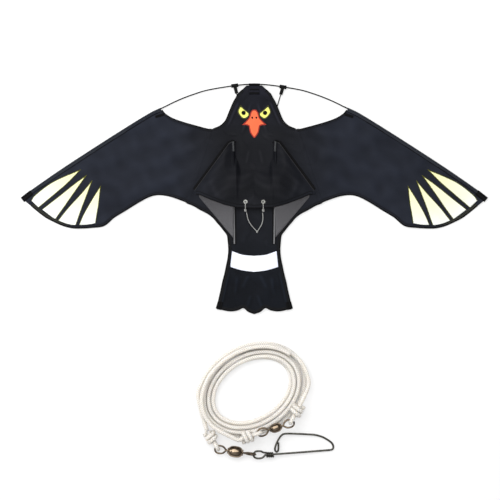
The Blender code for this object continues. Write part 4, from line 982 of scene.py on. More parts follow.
PATCH_LIFT, PATCH_DEPTH = 0.00045, 0.00022


def edge_gap(points, outline):
    """Distance from each point to the nearest place on a closed outline."""
    a, b = outline, np.roll(outline, -1, 0)
    seg = b - a
    rel = points[..., None, :] - a
    t = np.clip((rel * seg).sum(-1) / np.maximum((seg ** 2).sum(-1), 1e-12), 0, 1)
    return np.linalg.norm(rel - seg * t[..., None], axis=-1).min(-1)


def patch(name, points, lift, look, uv, slot, body, *nodes, behind=False):
    """A thin sewn patch on the belly side of the sail; some have a copy behind it."""
    dress(lay(name, points, lift, look, uv, PATCH_DEPTH), slot, body, *nodes)
    if behind:
        dress(lay(name + "_behind", points, -lift + 0.0001, look, uv, PATCH_DEPTH), slot, body)


def fan(outline, centre, rings):
    """Rings from a middle point out to a closed outline."""
    r = np.linspace(0.001, 1, rings)[:, None, None]
    return centre + (outline[None] - centre) * r


for side, label in SIDES:
    for (first, second, bulge), which in zip(FEATHERS, FEATHER_NAMES):
        outer = even(smooth(place(first), 8), 60)
        inner = even(smooth(place(second), 8), 60)
        points = between(outer, inner, 26)
        u = np.linspace(0, 1, 60)
        t = np.linspace(0, 1, 26)
        points[..., 1] -= bulge * BODY * (4 * t * (1 - t))[:, None] * (u ** 5)[None]
        width = np.linalg.norm(outer - inner, axis=1)
        uv = pair(u[None], np.minimum(t, 1 - t)[:, None] * width[None])
        points[..., 0] *= side
        patch(f"{label}_{which}_pale_feather", points, PATCH_LIFT, PALE, uv, "pale_cloth",
              BODIES[side], f"{label}_{which}_feather", behind=True)
    outline = smooth(np.vstack([place(EYE), place(EYE)[:1]]), 5)[:-1]
    outline = PUPIL + (outline - PUPIL) * 1.24
    points = fan(outline, PUPIL, 14)
    uv = np.stack([points[..., 0] * 0 + 0.5, edge_gap(points, outline)], -1)
    points = np.concatenate([points, points[:, :1]], 1)
    uv = np.concatenate([uv, uv[:, :1]], 1)
    points[..., 0] *= side
    patch(label + "_eye_patch", points, PATCH_LIFT, YELLOW, uv, "yellow_cloth", "frame",
          label + "_eye")
    a = np.linspace(0, 2 * math.pi, 49)
    for size, lift, look in ((0.0052, 0.00066, OLIVE), (0.0042, 0.00086, BLACK)):
        ring = PUPIL + size * np.stack([np.cos(a), np.sin(a)], -1)
        points = fan(ring, PUPIL, 5)
        points[..., 0] *= side
        patch(f"{label}_{look.name}_disc", points, lift, look, None, "binding_cloth", "frame")
    ring = NOSTRIL + 0.0027 * np.stack([0.8 * np.cos(a), np.sin(a)], -1)
    points = fan(ring, NOSTRIL, 5)
    points[..., 0] *= side
    patch(label + "_nostril", points, 0.00068, BLACK, None, "binding_cloth", "frame")

rows = np.array(BEAK_ROWS)
drop = np.concatenate([np.linspace(a, b, 5)[:-1] for a, b in zip(rows[:-1, 0], rows[1:, 0])]
                      + [rows[-1:, 0]])
half = np.interp(-drop, -rows[:, 0], rows[:, 1]) * HALF_SPAN * 1.14
drop = 0.335 + (drop - 0.335) * 1.04
s = np.linspace(-1, 1, 41)
points = pair(half[:, None] * s[None], drop[:, None] * BODY)
edge = np.vstack([np.stack([half, drop * BODY], -1), np.stack([-half, drop * BODY], -1)[::-1]])
uv = np.stack([points[..., 0] * 0 + 0.5, edge_gap(points, edge)], -1)
patch("beak_patch", points, PATCH_LIFT, ORANGE, uv, "orange_cloth", "frame", "beak")

upper, lower = smooth(place(BAND[0]), 8), smooth(place(BAND[1]), 8)
upper = np.vstack([upper[::-1] * [-1, 1], upper[1:]])
lower = np.vstack([lower[::-1] * [-1, 1], lower[1:]])
points = between(even(upper, 90), even(lower, 90), 22)
depth = np.linalg.norm(upper[0] - lower[0])
t = np.linspace(0, 1, 22)
uv = pair(0.75 + 0 * points[..., 0], (np.minimum(t, 1 - t) * depth)[:, None])
patch("tail_band_patch", points, PATCH_LIFT, WHITE, uv, "pale_cloth", "frame", "tail_band",
      behind=True)

# %% [markdown]
# ## The raised belly
#
# The belly cloth is sewn down at its side corners and stands off the sail
# between them. Its lower edge is open, so the wind fills it. The height is
# written over two shares: across the panel, and up from its lower edge.

# %%
BELLY_X = [0, 0.06, 0.077, 0.082, 0.107, 0.261]
BELLY_TOP = [0.12, 0.133, 0.177, 0.251, 0.242, 0.031]
BELLY_LOW_X = [0, 0.077, 0.129, 0.193, 0.236, 0.261]
BELLY_LOW = [-0.042, -0.038, -0.025, -0.001, 0.018, 0.019]
BELLY_HALF = 0.261
RISE, SHOULDER, NOTCH, PUFF = 0.0170, 0.0102, 0.0009, 0.0065
NOTCH_HALF, NOTCH_SLOPE, SOFT = 0.077, 0.32, 0.0010
ROD_TOP, ROD_SPREAD = 0.0082, 0.0085


def belly(x, v, lift=0.0, crease=True):
    """Point of the belly cloth at a signed share across and a share up.

    Its height is the smaller, with a smooth change, of the puffed panel and a slope
    that starts at the notch and lies over the keel rods.
    """
    x, v = np.broadcast_arrays(np.asarray(x, float), np.asarray(v, float))
    a = np.abs(x)
    w = np.minimum(1.0, a / BELLY_HALF)
    low = LAYER + RISE * (1 - w * w) ** 1.3
    top = np.interp(a, [0, 0.068, 0.077, 0.107, 0.16, 0.21, 0.261],
                    [NOTCH, NOTCH * 1.2, SHOULDER * 0.8, SHOULDER, SHOULDER * 0.45,
                     SHOULDER * 0.16, LAYER])
    z = low * (1 - v) ** 1.2 + top * v + PUFF * np.sin(math.pi * v) * (1 - w * w)
    y = np.interp(a, BELLY_LOW_X, BELLY_LOW) * (1 - v) + np.interp(a, BELLY_X, BELLY_TOP) * v
    keel = 0.085 + (y + 0.196) / 0.446 * 0.007
    brim = np.interp(np.minimum(a, NOTCH_HALF), BELLY_X, BELLY_TOP)
    away = np.hypot(np.maximum(a - NOTCH_HALF, 0) * HALF_SPAN, np.maximum(brim - y, 0) * BODY)
    most = np.maximum(NOTCH * 1.2 + NOTCH_SLOPE * away,
                      ROD_TOP * np.exp(-((a - keel) / ROD_SPREAD) ** 2))
    bend = SOFT * np.log1p(np.exp(-np.abs(z - most) / SOFT))
    z = np.maximum(np.minimum(z, most) - bend, np.minimum(z, NOTCH))
    px, py = x * HALF_SPAN, y * BODY
    if crease:
        inner = np.clip(np.minimum(v, 1 - v) / 0.12, 0, 1) * (1 - w ** 4)
        pull = np.sin(2 * math.pi * (0.9 * a / 0.11 + 1.3 * v) + 0.6 * np.sign(x))
        fine = np.sin(2 * math.pi * (py / 0.021 + a * 11.0) + 2 * np.sin(a * 40))
        far = np.hypot(px, py - 0.06)
        arc = (np.exp(-((far - 0.103) / 0.007) ** 2) + 0.5 * np.exp(-((far - 0.124) / 0.006) ** 2))
        arc = arc * np.exp(-((py - 0.020) / 0.024) ** 2)
        z = z + inner * (0.00055 * pull + 0.00022 * fine + 0.0013 * arc)
    return np.stack([px, py, SAIL_Z + z + lift], -1)


def belly_up(x, y):
    """Share up the panel of a place given by its shares of span and length."""
    low = np.interp(abs(x), BELLY_LOW_X, BELLY_LOW)
    top = np.interp(abs(x), BELLY_X, BELLY_TOP)
    return float((y - low) / (top - low))


key = np.array([0, 0.03, 0.06, 0.0685, 0.077, 0.0795, 0.082, 0.107, 0.18, 0.23, 0.261])
xs = np.unique(np.concatenate([np.linspace(a, b, n) for a, b, n in zip(
    key[:-1], key[1:], (12, 12, 5, 5, 4, 4, 12, 26, 18, 12))]))
xs = np.concatenate([-xs[:0:-1], xs])
vs = np.linspace(0, 1, 84)
# painted light on the belly cloth: painted shade over most of it, a painted highlight at its middle and on
# its wrinkles' tops
slack = belly(xs[None], vs[:, None])[..., 2] - belly(xs[None], vs[:, None], crease=False)[..., 2]
panel = grid("belly_cloth", belly(xs[None], vs[:, None]), None, SAILCLOTH)
thick(paint_fold_shading(panel, 0.37 + 0.13 * np.exp(-(xs[None] / 0.07) ** 2) + slack / 0.0019))
dress(panel, "sail_cloth", "frame", "belly_panel")


def belly_strip(name, points, look, uv, depth, *nodes):
    """A sewn strip on the belly cloth."""
    dress(thick(grid(name, points, uv, look), depth), "binding_cloth", "frame", *nodes)


keep = xs[np.abs(xs) < 0.252]
span = (np.interp(np.abs(keep), BELLY_X, BELLY_TOP)
        - np.interp(np.abs(keep), BELLY_LOW_X, BELLY_LOW)) * BODY
share = np.minimum(0.0072, span * 0.4) / span
ks = np.linspace(-0.02, 1, 9)
points = belly(keep[None], share[None] * ks[:, None], 0.00048)
along = walked(points[4])
uv = pair(along[None], ((ks + 0.02) / 1.02)[:, None])
belly_strip("belly_low_binding", points, SAILCLOTH, uv, 0.0003, "belly_hem")
for name, first, last in (("upper", 0.90, 1.10), ("lower", -0.06, 0.22)):
    ks = np.linspace(first, last, 5)
    points = belly(keep[None], share[None] * ks[:, None], 0.00072)
    uv = pair(along[None], np.linspace(0, 1, 5)[:, None])
    belly_strip("belly_seam_" + name, points, TAPE, uv, 0.0002)
for side, label in SIDES:
    # a rolled strip along each side edge, whose pale colour is a painted highlight on the fold
    ks = np.linspace(0.084, 0.256, 60)
    span = (np.interp(ks, BELLY_X, BELLY_TOP) - np.interp(ks, BELLY_LOW_X, BELLY_LOW)) * BODY
    m = np.linspace(0, 1, 7)
    depth = np.minimum(0.0024 / span, 0.4)
    roll = 0.0007 * np.sin(math.pi * m)[:, None] + 0.0003
    points = belly(side * ks[None], 1 - depth[None] * m[:, None])
    points[..., 2] += roll
    along = walked(points[3])
    uv = pair(along[None], m[:, None])
    belly_strip(label + "_belly_side_edge_highlight", points, EDGE_HIGHLIGHT, uv, 0.0003)

    # dark strip on the sail along the panel's side edge: a painted shadow of the raised edge
    rim = place(np.column_stack([ks, np.interp(ks, BELLY_X, BELLY_TOP)]))
    out = np.array([np.cos(0.62), np.sin(0.62)])
    flat = rim[None] + out * (np.linspace(-0.006, 0.0056, 6)[:, None, None])
    flat[..., 0] *= side
    z = sail(flat[..., 0], flat[..., 1]) + 0.0005
    belly_strip(label + "_belly_side_shadow_strip", np.concatenate([flat, z[..., None]], -1),
                TAPE, uv[:6] * [1, 7 / 6], 0.0002)
    # a glossy ridge over each keel cap; its grey is partly a painted highlight of the cloth pressed over the
    # cap
    low, high = np.array([0.0888, 0.205]), np.array([0.0905, 0.247])
    t = np.linspace(0, 1, 14)[:, None]
    path = low + (high - low) * t
    path = np.array([belly(side * x, belly_up(x, y), 0.0004) for x, y in path])
    cap = sweep(label + "_shoulder_ridge", path, 0.0027, CAP_SHEEN, 18)
    dress(cap, "vinyl", "frame")

    outer, inner, apex = place([(0.238, 0.009), (0.0895, -0.0365), (0.091, -0.169)])
    s = np.linspace(0.01, 1.0, 40)[:, None]
    base = outer + (apex - outer) * s
    base = np.concatenate([base, np.full_like(s, SAIL_Z + 2.2 * LAYER)], -1)
    x = (outer[0] + (inner[0] - outer[0]) * s[:, 0]) / HALF_SPAN
    rim = belly(x, 0.0, crease=False) - [0, 0.0006, 1.6 * LAYER]
    net = base[:, None] + (rim - base)[:, None] * np.linspace(0, 1, 12)[None, :, None]
    u = s[:, 0] * np.linalg.norm(apex - outer)
    v = np.linspace(0, 1, 12)[None] * np.linalg.norm(rim - base, axis=1)[:, None]
    uv = pair(u[:, None], v)
    net[..., 0] *= side
    vent = thick(grid(label + "_net", net, uv, NET), 0.00025)
    dress(vent, "mesh_cloth", "frame", label + "_mesh_vent")

# %% [markdown]
# ## Rods
#
# The bow runs from the middle of the head to each wing tip in one thin rod.

# %%
bow = smooth(place(BOW + [BOW[-1]])[:-1], 8)
lead = smooth(place(LEADING), 8)
lead = lead + sideways(lead) * -ROD_INSET
way = (lead[-1] - lead[-3]) / np.linalg.norm(lead[-1] - lead[-3])
lead[-1] -= way * 0.0018
route = np.vstack([bow[:-1], lead[4:]])
route = np.column_stack([route, wing_base(route[:, 0], route[:, 1])])
for side, label in SIDES:
    line = even(route, 180) * [side, 1, 1]
    rod = sweep(label + "_bow_rod", line, BOW_R, ROD, 16)
    dress(rod, "dark_rod", side, label + "_wing_rod",
          *(["centre_bow_rod"] if side == 1 else []))

# %% [markdown]
# ## The bridle
#
# A thin cord loops through each eyelet and is knotted below the panel's edge. A
# V of the same cord joins the two knots and ends in a small tow knot.


# %%
THIN = 0.0009
EYELET = (0.038, -0.014)
KNOT_Y = -0.0515 * BODY
TOW = np.array([0.012 * HALF_SPAN, -0.143 * BODY, SAIL_Z + CLOTH / 2 + 0.0003 + 0.0026])


def eyelet_frame(side):
    """Middle and outward direction of an eyelet."""
    x, v, step = side * EYELET[0], belly_up(*EYELET), 0.004
    across = belly(x + step, v, 0, False) - belly(x - step, v, 0, False)
    up = belly(x, v + step, 0, False) - belly(x, v - step, 0, False)
    normal = np.cross(across, up)
    return belly(x, v, 0, False), normal / np.linalg.norm(normal)


def wrap(centre, along, radius, turns, pitch, start=0.0):
    """A helix of cord about a line: turns round it while it moves along."""
    along = np.array(along, float) / np.linalg.norm(along)
    side = np.cross(along, [0.0, 0.0, 1.0])
    side /= np.linalg.norm(side)
    other = np.cross(along, side)
    k = np.linspace(0, turns, int(turns * 14) + 1)[:, None]
    a = 2 * math.pi * k + start
    return (np.array(centre) + along * (k - turns / 2) * pitch
            + side * radius * np.cos(a) + other * radius * np.sin(a))


knots = []
for side, label in SIDES:
    spot, normal = eyelet_frame(side)
    rim = belly(side * EYELET[0], 0.0, 0, False)
    knot = np.array([rim[0], KNOT_Y, rim[2] - 0.0004])
    down = (rim - spot) / np.linalg.norm(rim - spot)
    loft = 0.0022
    path = [spot - normal * loft, spot, spot + normal * loft,
            spot + down * 0.0030 + normal * (loft + 0.0006), spot + down * 0.0068 + normal * loft,
            rim + normal * (loft + 0.0002) + [0, 0.0012, 0], rim + [0, -0.0028, 0.0019],
            knot + [0, 0.0014, 0.0011], knot + [0, -0.0006, 0.0011], knot + [0, -0.0016, 0],
            knot + [0, -0.0006, -0.0011], knot + [0, 0.0014, -0.0011],
            rim + [0, -0.0028, -0.0019], rim - normal * (loft - 0.0002) + [0, 0.0012, 0],
            spot + down * 0.0068 - normal * loft,
            spot + down * 0.0030 - normal * (loft + 0.0006)]
    path = smooth(path, 5)
    loop = sweep(label + "_eyelet_loop", path, THIN, LINE, 12)
    dress(loop, "bridle_line", "frame", label + "_bridle_loop")
    coils = wrap(knot, (0, 1, 0), 2.3 * THIN, 2.6, 2.1 * THIN)
    turn = sweep(label + "_loop_knot", coils, THIN, LINE, 12)
    dress(turn, "bridle_line", "frame")
    knots.append(knot)

strands = []
for knot in knots:
    way = (TOW - knot) / np.linalg.norm(TOW - knot)
    t = np.linspace(0, 1, 40)[:, None]
    line = knot + way * 0.0062 + (TOW - knot - way * 0.0062) * t
    line[:, 2] += 0.0022 * np.sin(math.pi * t[:, 0])
    line[:, 0] += np.sign(knot[0]) * 0.0060 * np.sin(math.pi * t[:, 0])
    strands.append(line)
line = np.vstack([strands[0], strands[1][::-1][1:]])
vee = sweep("bridle_vee", line, THIN, LINE, 12)
dress(vee, "bridle_line", "bridle_v", "bridle_line")
tow = sweep("bridle_tow_knot", wrap(TOW, (0.4, 1, 0), 1.6 * THIN, 2.5, 1.9 * THIN, 0.5),
            THIN * 0.95, LINE, 12)
dress(tow, "bridle_line", "bridle_v")

# %% [markdown]
# ## The coiled line
#
# A hollow braid lies in a tilted oval. It spirals in on the floor, climbs over
# itself, and spirals out on top. Each end goes through a swivel's eye and back
# into a knot with a cut tail.

# %%
CORD_R = 0.00495
PITCH = 2 * CORD_R + 0.0010
STEP_UP = 2 * CORD_R + 0.0006
WIRE_R = 0.0021
KNOT_R = 2 * CORD_R + 0.0005
STAND, SWING = 0.0245, 0.0120
TILT = math.radians(30.0)
BARREL_A, SLOPE_A, LONG_A = np.array([-0.0448, -0.5959, 0.0140]), math.radians(-8.0), 0.0375
AXIS_B_Z = 2 * CORD_R + STEP_UP + KNOT_R + CORD_R + 0.0006
BARREL_B, SLOPE_B, LONG_B = np.array([0.0503, -0.5378, AXIS_B_Z]), math.radians(17.4), 0.0300
EYE_LONG, EYE_WIDE, RING_WIDE, NECK = 0.0295, 0.0180, 0.0172, 0.0020
OVAL_LONG, OVAL_SHORT = 0.1362, 0.1076
OVAL_MIDDLE = (-0.0042, -0.4526)
OVAL_START = math.radians(217.5)
YARNS = 26


def oval(turn, inward, z):
    """A point of the tilted oval, moved inward from its outermost line."""
    turn, inward, z = np.broadcast_arrays(turn, inward, z)
    a = OVAL_START - 2 * math.pi * turn - TILT
    x, y = (OVAL_LONG - inward) * np.cos(a), (OVAL_SHORT - inward) * np.sin(a)
    return np.stack([OVAL_MIDDLE[0] + x * math.cos(TILT) - y * math.sin(TILT),
                     OVAL_MIDDLE[1] + x * math.sin(TILT) + y * math.cos(TILT), z], -1)


TURNS_IN, CLIMB = 3.5, 0.5


def coil_line(turn):
    """In along the floor for 3.5 turns, up for half a turn, then out on top."""
    top = CORD_R + STEP_UP
    u = np.clip((turn - TURNS_IN) / CLIMB, 0, 1)
    swing = np.maximum(0.0, (turn - 6.1) / 0.5) ** 3
    inward = np.where(turn < TURNS_IN, PITCH * turn,
                      np.where(turn < TURNS_IN + CLIMB,
                               PITCH * (TURNS_IN + 0.25 * np.sin(math.pi * u)),
                               PITCH * (7.5 - turn) - SWING * swing))
    z = CORD_R + STEP_UP * ease(u) + np.where(
        turn >= TURNS_IN + CLIMB, (AXIS_B_Z - top) * 0.62 * ease((turn - 6.48) / 0.16), 0.0)
    return oval(turn, inward, z)


def held(barrel, along, across, length):
    """Place on a barrel's wire eye where the knotted cord pulls at it."""
    return (barrel + along * (length / 2 + NECK + 0.9 * (EYE_LONG - NECK))
            + across * 0.36 * EYE_WIDE)


def flat_way(angle):
    """Unit vector at an angle on the floor."""
    return np.array([math.cos(angle), math.sin(angle), 0.0])


def knot_line(knot, tip, hand=1):
    """Through the eye at tip, back to the knot, twice round it to one hand, and a tail."""
    tail = 0.013
    flat = np.array([tip[0] - knot[0], tip[1] - knot[1], 0.0])
    reach = np.linalg.norm(flat)
    along = flat / reach
    side = np.cross(along, [0.0, 0.0, 1.0]) * hand
    fall = (tip[2] - knot[2]) / reach

    def spot(e, n, m=0.0):
        return (knot + along * e + np.array([0, 0, n]) + side * m
                + np.array([0, 0, fall * max(0.0, e)]))

    bend = WIRE_R + CORD_R + 0.0005
    path = [spot(0.002, 0), spot(0.006, 0), spot(0.011, 0.0004), spot(0.0155, 0.0032),
            spot(reach - 0.004, bend * 0.88), spot(reach, bend)]
    path += [spot(reach + bend * math.cos(a), bend * math.sin(a))
             for a in np.radians([60, 30, 0, -30, -60, -90])]
    path.append(spot(reach - 0.005, -bend * 1.06))
    path += [spot(0.0104 * (1 - k / 12), -KNOT_R * math.cos(2 * math.pi * k / 12),
                  KNOT_R * math.sin(2 * math.pi * k / 12)) for k in range(25)]
    path += [spot(-0.0116, -KNOT_R, tail * 0.45), spot(-0.0128, -KNOT_R, tail)]
    return smooth(path, 5), along


def cut_end(name, path):
    """A few loose yarns fanning out of a cut end, in one mesh."""
    end, way = path[-1], path[-1] - path[-3]
    way /= np.linalg.norm(way)
    side = np.cross(way, [0.0, 0.0, 1.0])
    side /= np.linalg.norm(side)
    other = np.cross(way, side)
    k = np.arange(YARNS)[:, None, None]
    t = np.linspace(0, 1, 7)[None, :, None]
    turn = k * 2.4
    out = side * np.cos(turn) + other * np.sin(turn)
    spread = CORD_R * 0.85 * np.sqrt((k + 0.5) / YARNS) * (1 + 0.35 * t ** 2)
    lines = end - way * 0.002 + out * spread + way * t * (0.0030 + 0.0016 * np.sin(7.0 * k))
    a = np.linspace(0, 2 * math.pi, 6, endpoint=False)
    ring = (side[None] * np.cos(a)[:, None] + other[None] * np.sin(a)[:, None]) * 0.00034
    verts = (lines[:, :, None] + ring[None, None]).reshape(-1, 3)
    strand, step, spot = np.meshgrid(np.arange(YARNS), np.arange(6), np.arange(6),
                                     indexing="ij")
    first = (strand * 7 + step) * 6
    quads = np.stack([first + spot, first + (spot + 1) % 6, first + 6 + (spot + 1) % 6,
                      first + 6 + spot], -1).reshape(-1, 4)
    uv = np.zeros((len(verts), 2))
    return dress(raw(name, verts, quads, uv, CORD), "braided_line", "frame")


along_a, side_a = flat_way(SLOPE_A), flat_way(SLOPE_A + math.pi / 2)
hold = held(BARREL_A, -along_a, side_a, LONG_A)
knot_a = hold - STAND * flat_way(math.radians(-60.0))
knot_a[2] = KNOT_R + CORD_R + 0.0009
path_a, way_a = knot_line(knot_a, hold)
along_b, across_b = flat_way(SLOPE_B), flat_way(SLOPE_B + math.pi / 2)
hold = held(BARREL_B, along_b, across_b, LONG_B)
knot_r = hold + STAND * flat_way(math.radians(62.0))
path_r, way_r = knot_line(knot_r, hold, hand=-1)
tip_l = BARREL_B - along_b * (LONG_B / 2 + EYE_LONG)
knot_l = tip_l - along_b * STAND
path_l, way_l = knot_line(knot_l, tip_l)

coil = coil_line(np.linspace(0.06, 6.60, 158))
for k, up in ((0, 0.0080), (1, 0.0056), (2, 0.0030), (3, 0.0010)):
    coil[k, 2] += up
start = [knot_a + way_a * 0.0015, knot_a - way_a * 0.014,
         knot_a - way_a * 0.024 - [0, 0, 0.0016]]
stop = [knot_r - way_r * 0.030, knot_r - way_r * 0.016, knot_r + way_r * 0.0015]
coil_route = smooth(np.vstack([start, coil[1:], stop]), 6)
pole = oval(np.linspace(-0.085, 0.468, 20), PITCH * 0.95, CORD_R + 2 * STEP_UP)
pole[1, 2] += 0.0046
pole[2, 2] += 0.0018
start = [knot_l + way_l * 0.0015, knot_l - way_l * 0.014,
         knot_l - way_l * 0.025 - [0, 0, 0.0012]]
pole_route = smooth(np.vstack([start, pole[1:]]), 6)

# %% [markdown]
# The swivels' eyes and the snap are bent from one round wire each. An eye leaves
# its barrel, swings out and round, and closes on its own neck.

# %%
EYE_LINE = [(0, 0), (0.1, 0.12), (0.22, 0.32), (0.36, 0.45), (0.55, 0.5), (0.75, 0.48),
            (0.9, 0.36), (0.975, 0.19), (1, 0), (0.975, -0.19), (0.9, -0.36),
            (0.75, -0.48), (0.55, -0.5), (0.36, -0.45), (0.22, -0.32), (0.1, -0.14),
            (0.02, -0.08)]
UP = np.array([0.0, 0.0, 1.0])


def wire_eye(name, node, barrel, along, across, length, width=EYE_WIDE):
    """An eye of wire on its neck, with its shank kept inside the barrel's end."""
    end = barrel + along * length / 2
    neck = end + along * NECK
    path = [end - along * 0.0070, end - along * 0.0030, end - along * 0.0005]
    path += [neck + along * u * (EYE_LONG - NECK) + across * w * width for u, w in EYE_LINE]
    dress(sweep(name, smooth(path, 6), WIRE_R, GOLD, 16), "dark_wire", "frame", node)


roll = math.radians(72.0)
tilted = side_a * math.cos(roll) + UP * math.sin(roll)
wire_eye("line_eye", "snap_swivel_line_eye", BARREL_A, -along_a, -side_a, LONG_A)
wire_eye("ring_eye", "snap_swivel_ring_eye", BARREL_A, along_a, tilted, LONG_A, RING_WIDE)
wire_eye("coil_eye", "pole_swivel_coil_eye", BARREL_B, along_b, across_b, LONG_B)
wire_eye("pole_eye", "pole_swivel_pole_eye", BARREL_B, -along_b, -across_b, LONG_B)

BARREL_SHAPE = [(-0.5, 0.20), (-0.5, 0.44), (-0.494, 0.50), (-0.47, 0.52), (-0.452, 0.50),
                (-0.44, 0.53), (-0.41, 0.64), (-0.36, 0.77), (-0.29, 0.885), (-0.2, 0.965),
                (-0.1, 0.995), (0.0, 1.0)]


def turned_barrel(name, node, body, centre, along, length):
    """A swivel's barrel: an egg-shaped profile turned about the line, with end collars."""
    low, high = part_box(node)
    radius = (high[2] - low[2]) / 2
    half = np.array(BARREL_SHAPE)
    shape = np.vstack([half, (half * [-1, 1])[::-1][1:]])
    shape = np.column_stack([np.interp(np.linspace(0, 1, 90), np.linspace(0, 1, len(shape)),
                                       shape[:, k]) for k in (0, 1)])
    side = np.cross(along, UP)
    a = np.linspace(0, 2 * math.pi, 57)
    ring = side * np.cos(a)[:, None] + UP * np.sin(a)[:, None]
    points = (centre + along * (shape[:, None, :1] * length)
              + ring[None] * (shape[:, None, 1:] * radius))
    uv = pair(shape[:, :1], (a / (2 * math.pi))[None])
    dress(grid(name, points[:, ::-1], uv, BRONZE), "bronze_barrel", body, node)


turned_barrel("snap_barrel_shell", "snap_swivel_barrel", "snap_barrel", BARREL_A, along_a, LONG_A)
turned_barrel("pole_barrel_shell", "pole_swivel_barrel", "pole_barrel", BARREL_B, along_b, LONG_B)

SNAP = [(330.4, 447.7), (315, 448.8), (300, 449.9), (287, 450.8), (276, 451.5), (266, 452.1)]
GATE = [(331.0, 447.6), (332.7, 446.6), (333.3, 444.4), (332.2, 441.4), (329.3, 438.7),
        (322.9, 434.9), (315.3, 432.6), (307, 431.9), (296, 431.3), (285.3, 431.2),
        (281.3, 433.0), (277.4, 438.7), (275.0, 445.2), (275.2, 448.0), (276.6, 449.2),
        (278.1, 447.8), (278.4, 444), (278.3, 440)]
SNAP_ORIGIN = (254.3, 196.55)


def snap_spot(x, y):
    """Place of a drawn point of the snap, in metres."""
    return np.array([(x - SNAP_ORIGIN[0]) * PIXEL, (SNAP_ORIGIN[1] - y) * PIXEL, 0.0])


SNAP_R = 0.0023
link = BARREL_A + along_a * (LONG_A / 2 + EYE_LONG)
pivot = np.array([link[0] - 2 * WIRE_R - 0.0007, snap_spot(*SNAP[-1])[1] + 0.0002, link[2]])
slope = (pivot[2] - WIRE_R - 0.0002) / (snap_spot(*GATE[2])[0] - pivot[0])


def settle(point):
    """Drop a flat point onto the snap's slanting plane."""
    return np.array([point[0], point[1], pivot[2] - (point[0] - pivot[0]) * slope])


neck = settle(snap_spot(*SNAP[-1]))
back = (pivot - neck) / np.linalg.norm(pivot - neck)
across = np.array([0.0, -1.0, 0.0])
loop = [neck + back * u * np.linalg.norm(pivot - neck) + across * w * RING_WIDE
        for u, w in EYE_LINE[:-2]]
front = -back
up = np.cross(across, front)
up /= np.linalg.norm(up)
a = np.linspace(0, 2 * math.pi * 3.6, 58)[:, None]
helix = (neck + front * (0.0006 + (2 * WIRE_R + 0.00045) * a / (2 * math.pi))
         + (-across * np.cos(a) + up * np.sin(a)) * (2 * WIRE_R + 0.00045))
path = [settle(snap_spot(*p)) for p in SNAP] + loop[1:] + list(helix)
wire = sweep("snap_shank", smooth(path, 4), SNAP_R, WIRE, 16)
dress(wire, "dark_wire", "snap", "snap_wire")
line = smooth([settle(snap_spot(*p)) for p in GATE], 6)
gate = sweep("snap_arm", line, SNAP_R, WIRE, 16)
dress(gate, "dark_wire", "gate", "snap_gate")

# %% [markdown]
# Now the cord itself is swept along its line, and its knots along theirs.

# %%
knot_pieces = []
for name, path in (("snap_end", path_a), ("coil_end", path_r), ("pole_end", path_l)):
    knot = sweep(name + "_bend", path, CORD_R * 0.97, CORD, 20)
    dress(knot, "braided_line", "frame", name + "_knot")
    knot_pieces.append([knot, cut_end(name + "_yarn", path)])
line = sweep("coiled_line", coil_route, CORD_R * 0.985, CORD, 20)
dress(line, "braided_line", "frame", "line_coil")
tail = sweep("pole_end_line", pole_route, CORD_R * 0.985, CORD, 20)
dress(tail, "braided_line", "frame", "pole_line")
knot_pieces[2] + [cut_end("pole_line_yarn", pole_route)]

# %% [markdown]
# ## Materials of the rigid pieces
#
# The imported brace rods, keel rods, caps, connectors, eyelets and tail pockets keep
# their shape and take the better materials.

# %%
RIGID = {"brace_rod": ROD, "keel_rod": GREY_ROD, "keel_cap": VINYL, "bow_connector": VINYL,
         "eyelet": SHINE, "tail_pocket": TAPE}
for name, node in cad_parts.items():
    for ending, look in RIGID.items():
        if name.endswith(ending):
            node.data.materials.clear()
            node.data.materials.append(look)

# %% [markdown]
# ## Floor, light and camera
#
# A plain pale floor shows white to the camera and still takes soft shadows. A wide
# softbox hangs overhead and a weak one stands at the left. The camera looks
# straight down.

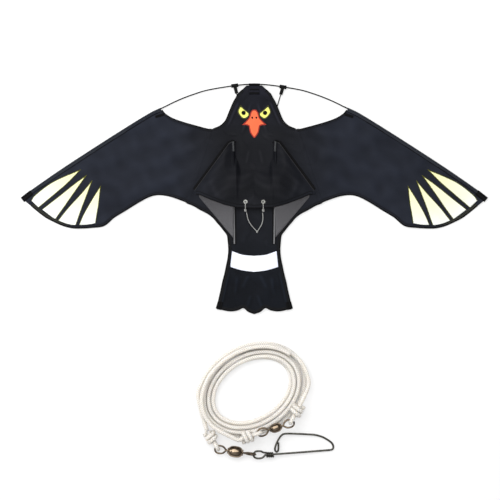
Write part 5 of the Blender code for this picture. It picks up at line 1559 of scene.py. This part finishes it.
# %%
def shadow_floor():
    """A pale floor: to the camera, and in gloss, half of it is a plain white glow.

    The other half is lit, so the object's shadow stays, at about half its depth.
    """
    look = Look("pale_floor", (0.93, 0.93, 0.93), 0.9, Specular_IOR_Level=0.1)
    path = look.add("LightPath").outputs
    seen = look.math("MAXIMUM", path["Is Camera Ray"], path["Is Glossy Ray"])
    seen = look.math("MAXIMUM", seen, path["Is Transmission Ray"])
    both = look.add("MixShader")
    look.link(look.math("MULTIPLY", seen, 0.5), both.inputs[0])
    look.link(look.tree.nodes["Principled BSDF"].outputs[0], both.inputs[1])
    look.link(look.add("Emission").outputs[0], both.inputs[2])
    look.link(both.outputs[0], look.tree.nodes["Material Output"].inputs[0])
    return look.mat


HALF_FLOOR = 14.0
corners = [(x * HALF_FLOOR, y * HALF_FLOOR, -0.0006)
           for x, y in ((-1, -1), (1, -1), (1, 1), (-1, 1))]
floor = raw("floor", corners, [(0, 1, 2, 3)], None, shadow_floor())


def panel_light(name, power, size, spot, aim):
    """A square softbox at a spot, facing an aim point."""
    data = bpy.data.lights.new(name, "AREA")
    data.energy, data.size = power, size
    lamp = bpy.data.objects.new(name, data)
    bpy.context.scene.collection.objects.link(lamp)
    way = np.array(aim, float) - np.array(spot, float)
    lamp.location = spot
    lamp.rotation_euler = (math.atan2(math.hypot(way[0], way[1]), -way[2]), 0,
                           math.atan2(way[1], way[0]) - math.pi / 2)


panel_light("over_softbox", 62.0, 2.4, (-0.35, 0.55, 2.3), (0, -0.1, 0))
panel_light("left_softbox", 14.0, 1.2, (-2.0, 0.1, 1.2), (0, -0.1, 0))
world = bpy.data.worlds.new("studio")
world.use_nodes = True
sky = Nodes(world.node_tree)
_, _, height = sky.split(sky.add("TexCoord").outputs["Generated"])
fade = sky.add("ValToRGB")
for end, spot, colour in zip(fade.color_ramp.elements, (0.15, 0.85),
                             ((0.16, 0.16, 0.165, 1), (1, 1, 1, 1))):
    end.position, end.color = spot, colour
sky.link(height, fade.inputs[0])
backdrop = sky.tree.nodes["Background"].inputs
sky.link(fade.outputs[0], backdrop[0])
sky.link(0.62, backdrop[1])
bpy.context.scene.world = world

lens = bpy.data.cameras.new("camera")
lens.lens, lens.sensor_width = 152.5, 36.0
camera = bpy.data.objects.new("camera", lens)
camera.location = (-0.01015, -0.12098, 5.0)
bpy.context.scene.collection.objects.link(camera)
bpy.context.scene.camera = camera
bpy.context.scene.view_settings.view_transform = "Standard"
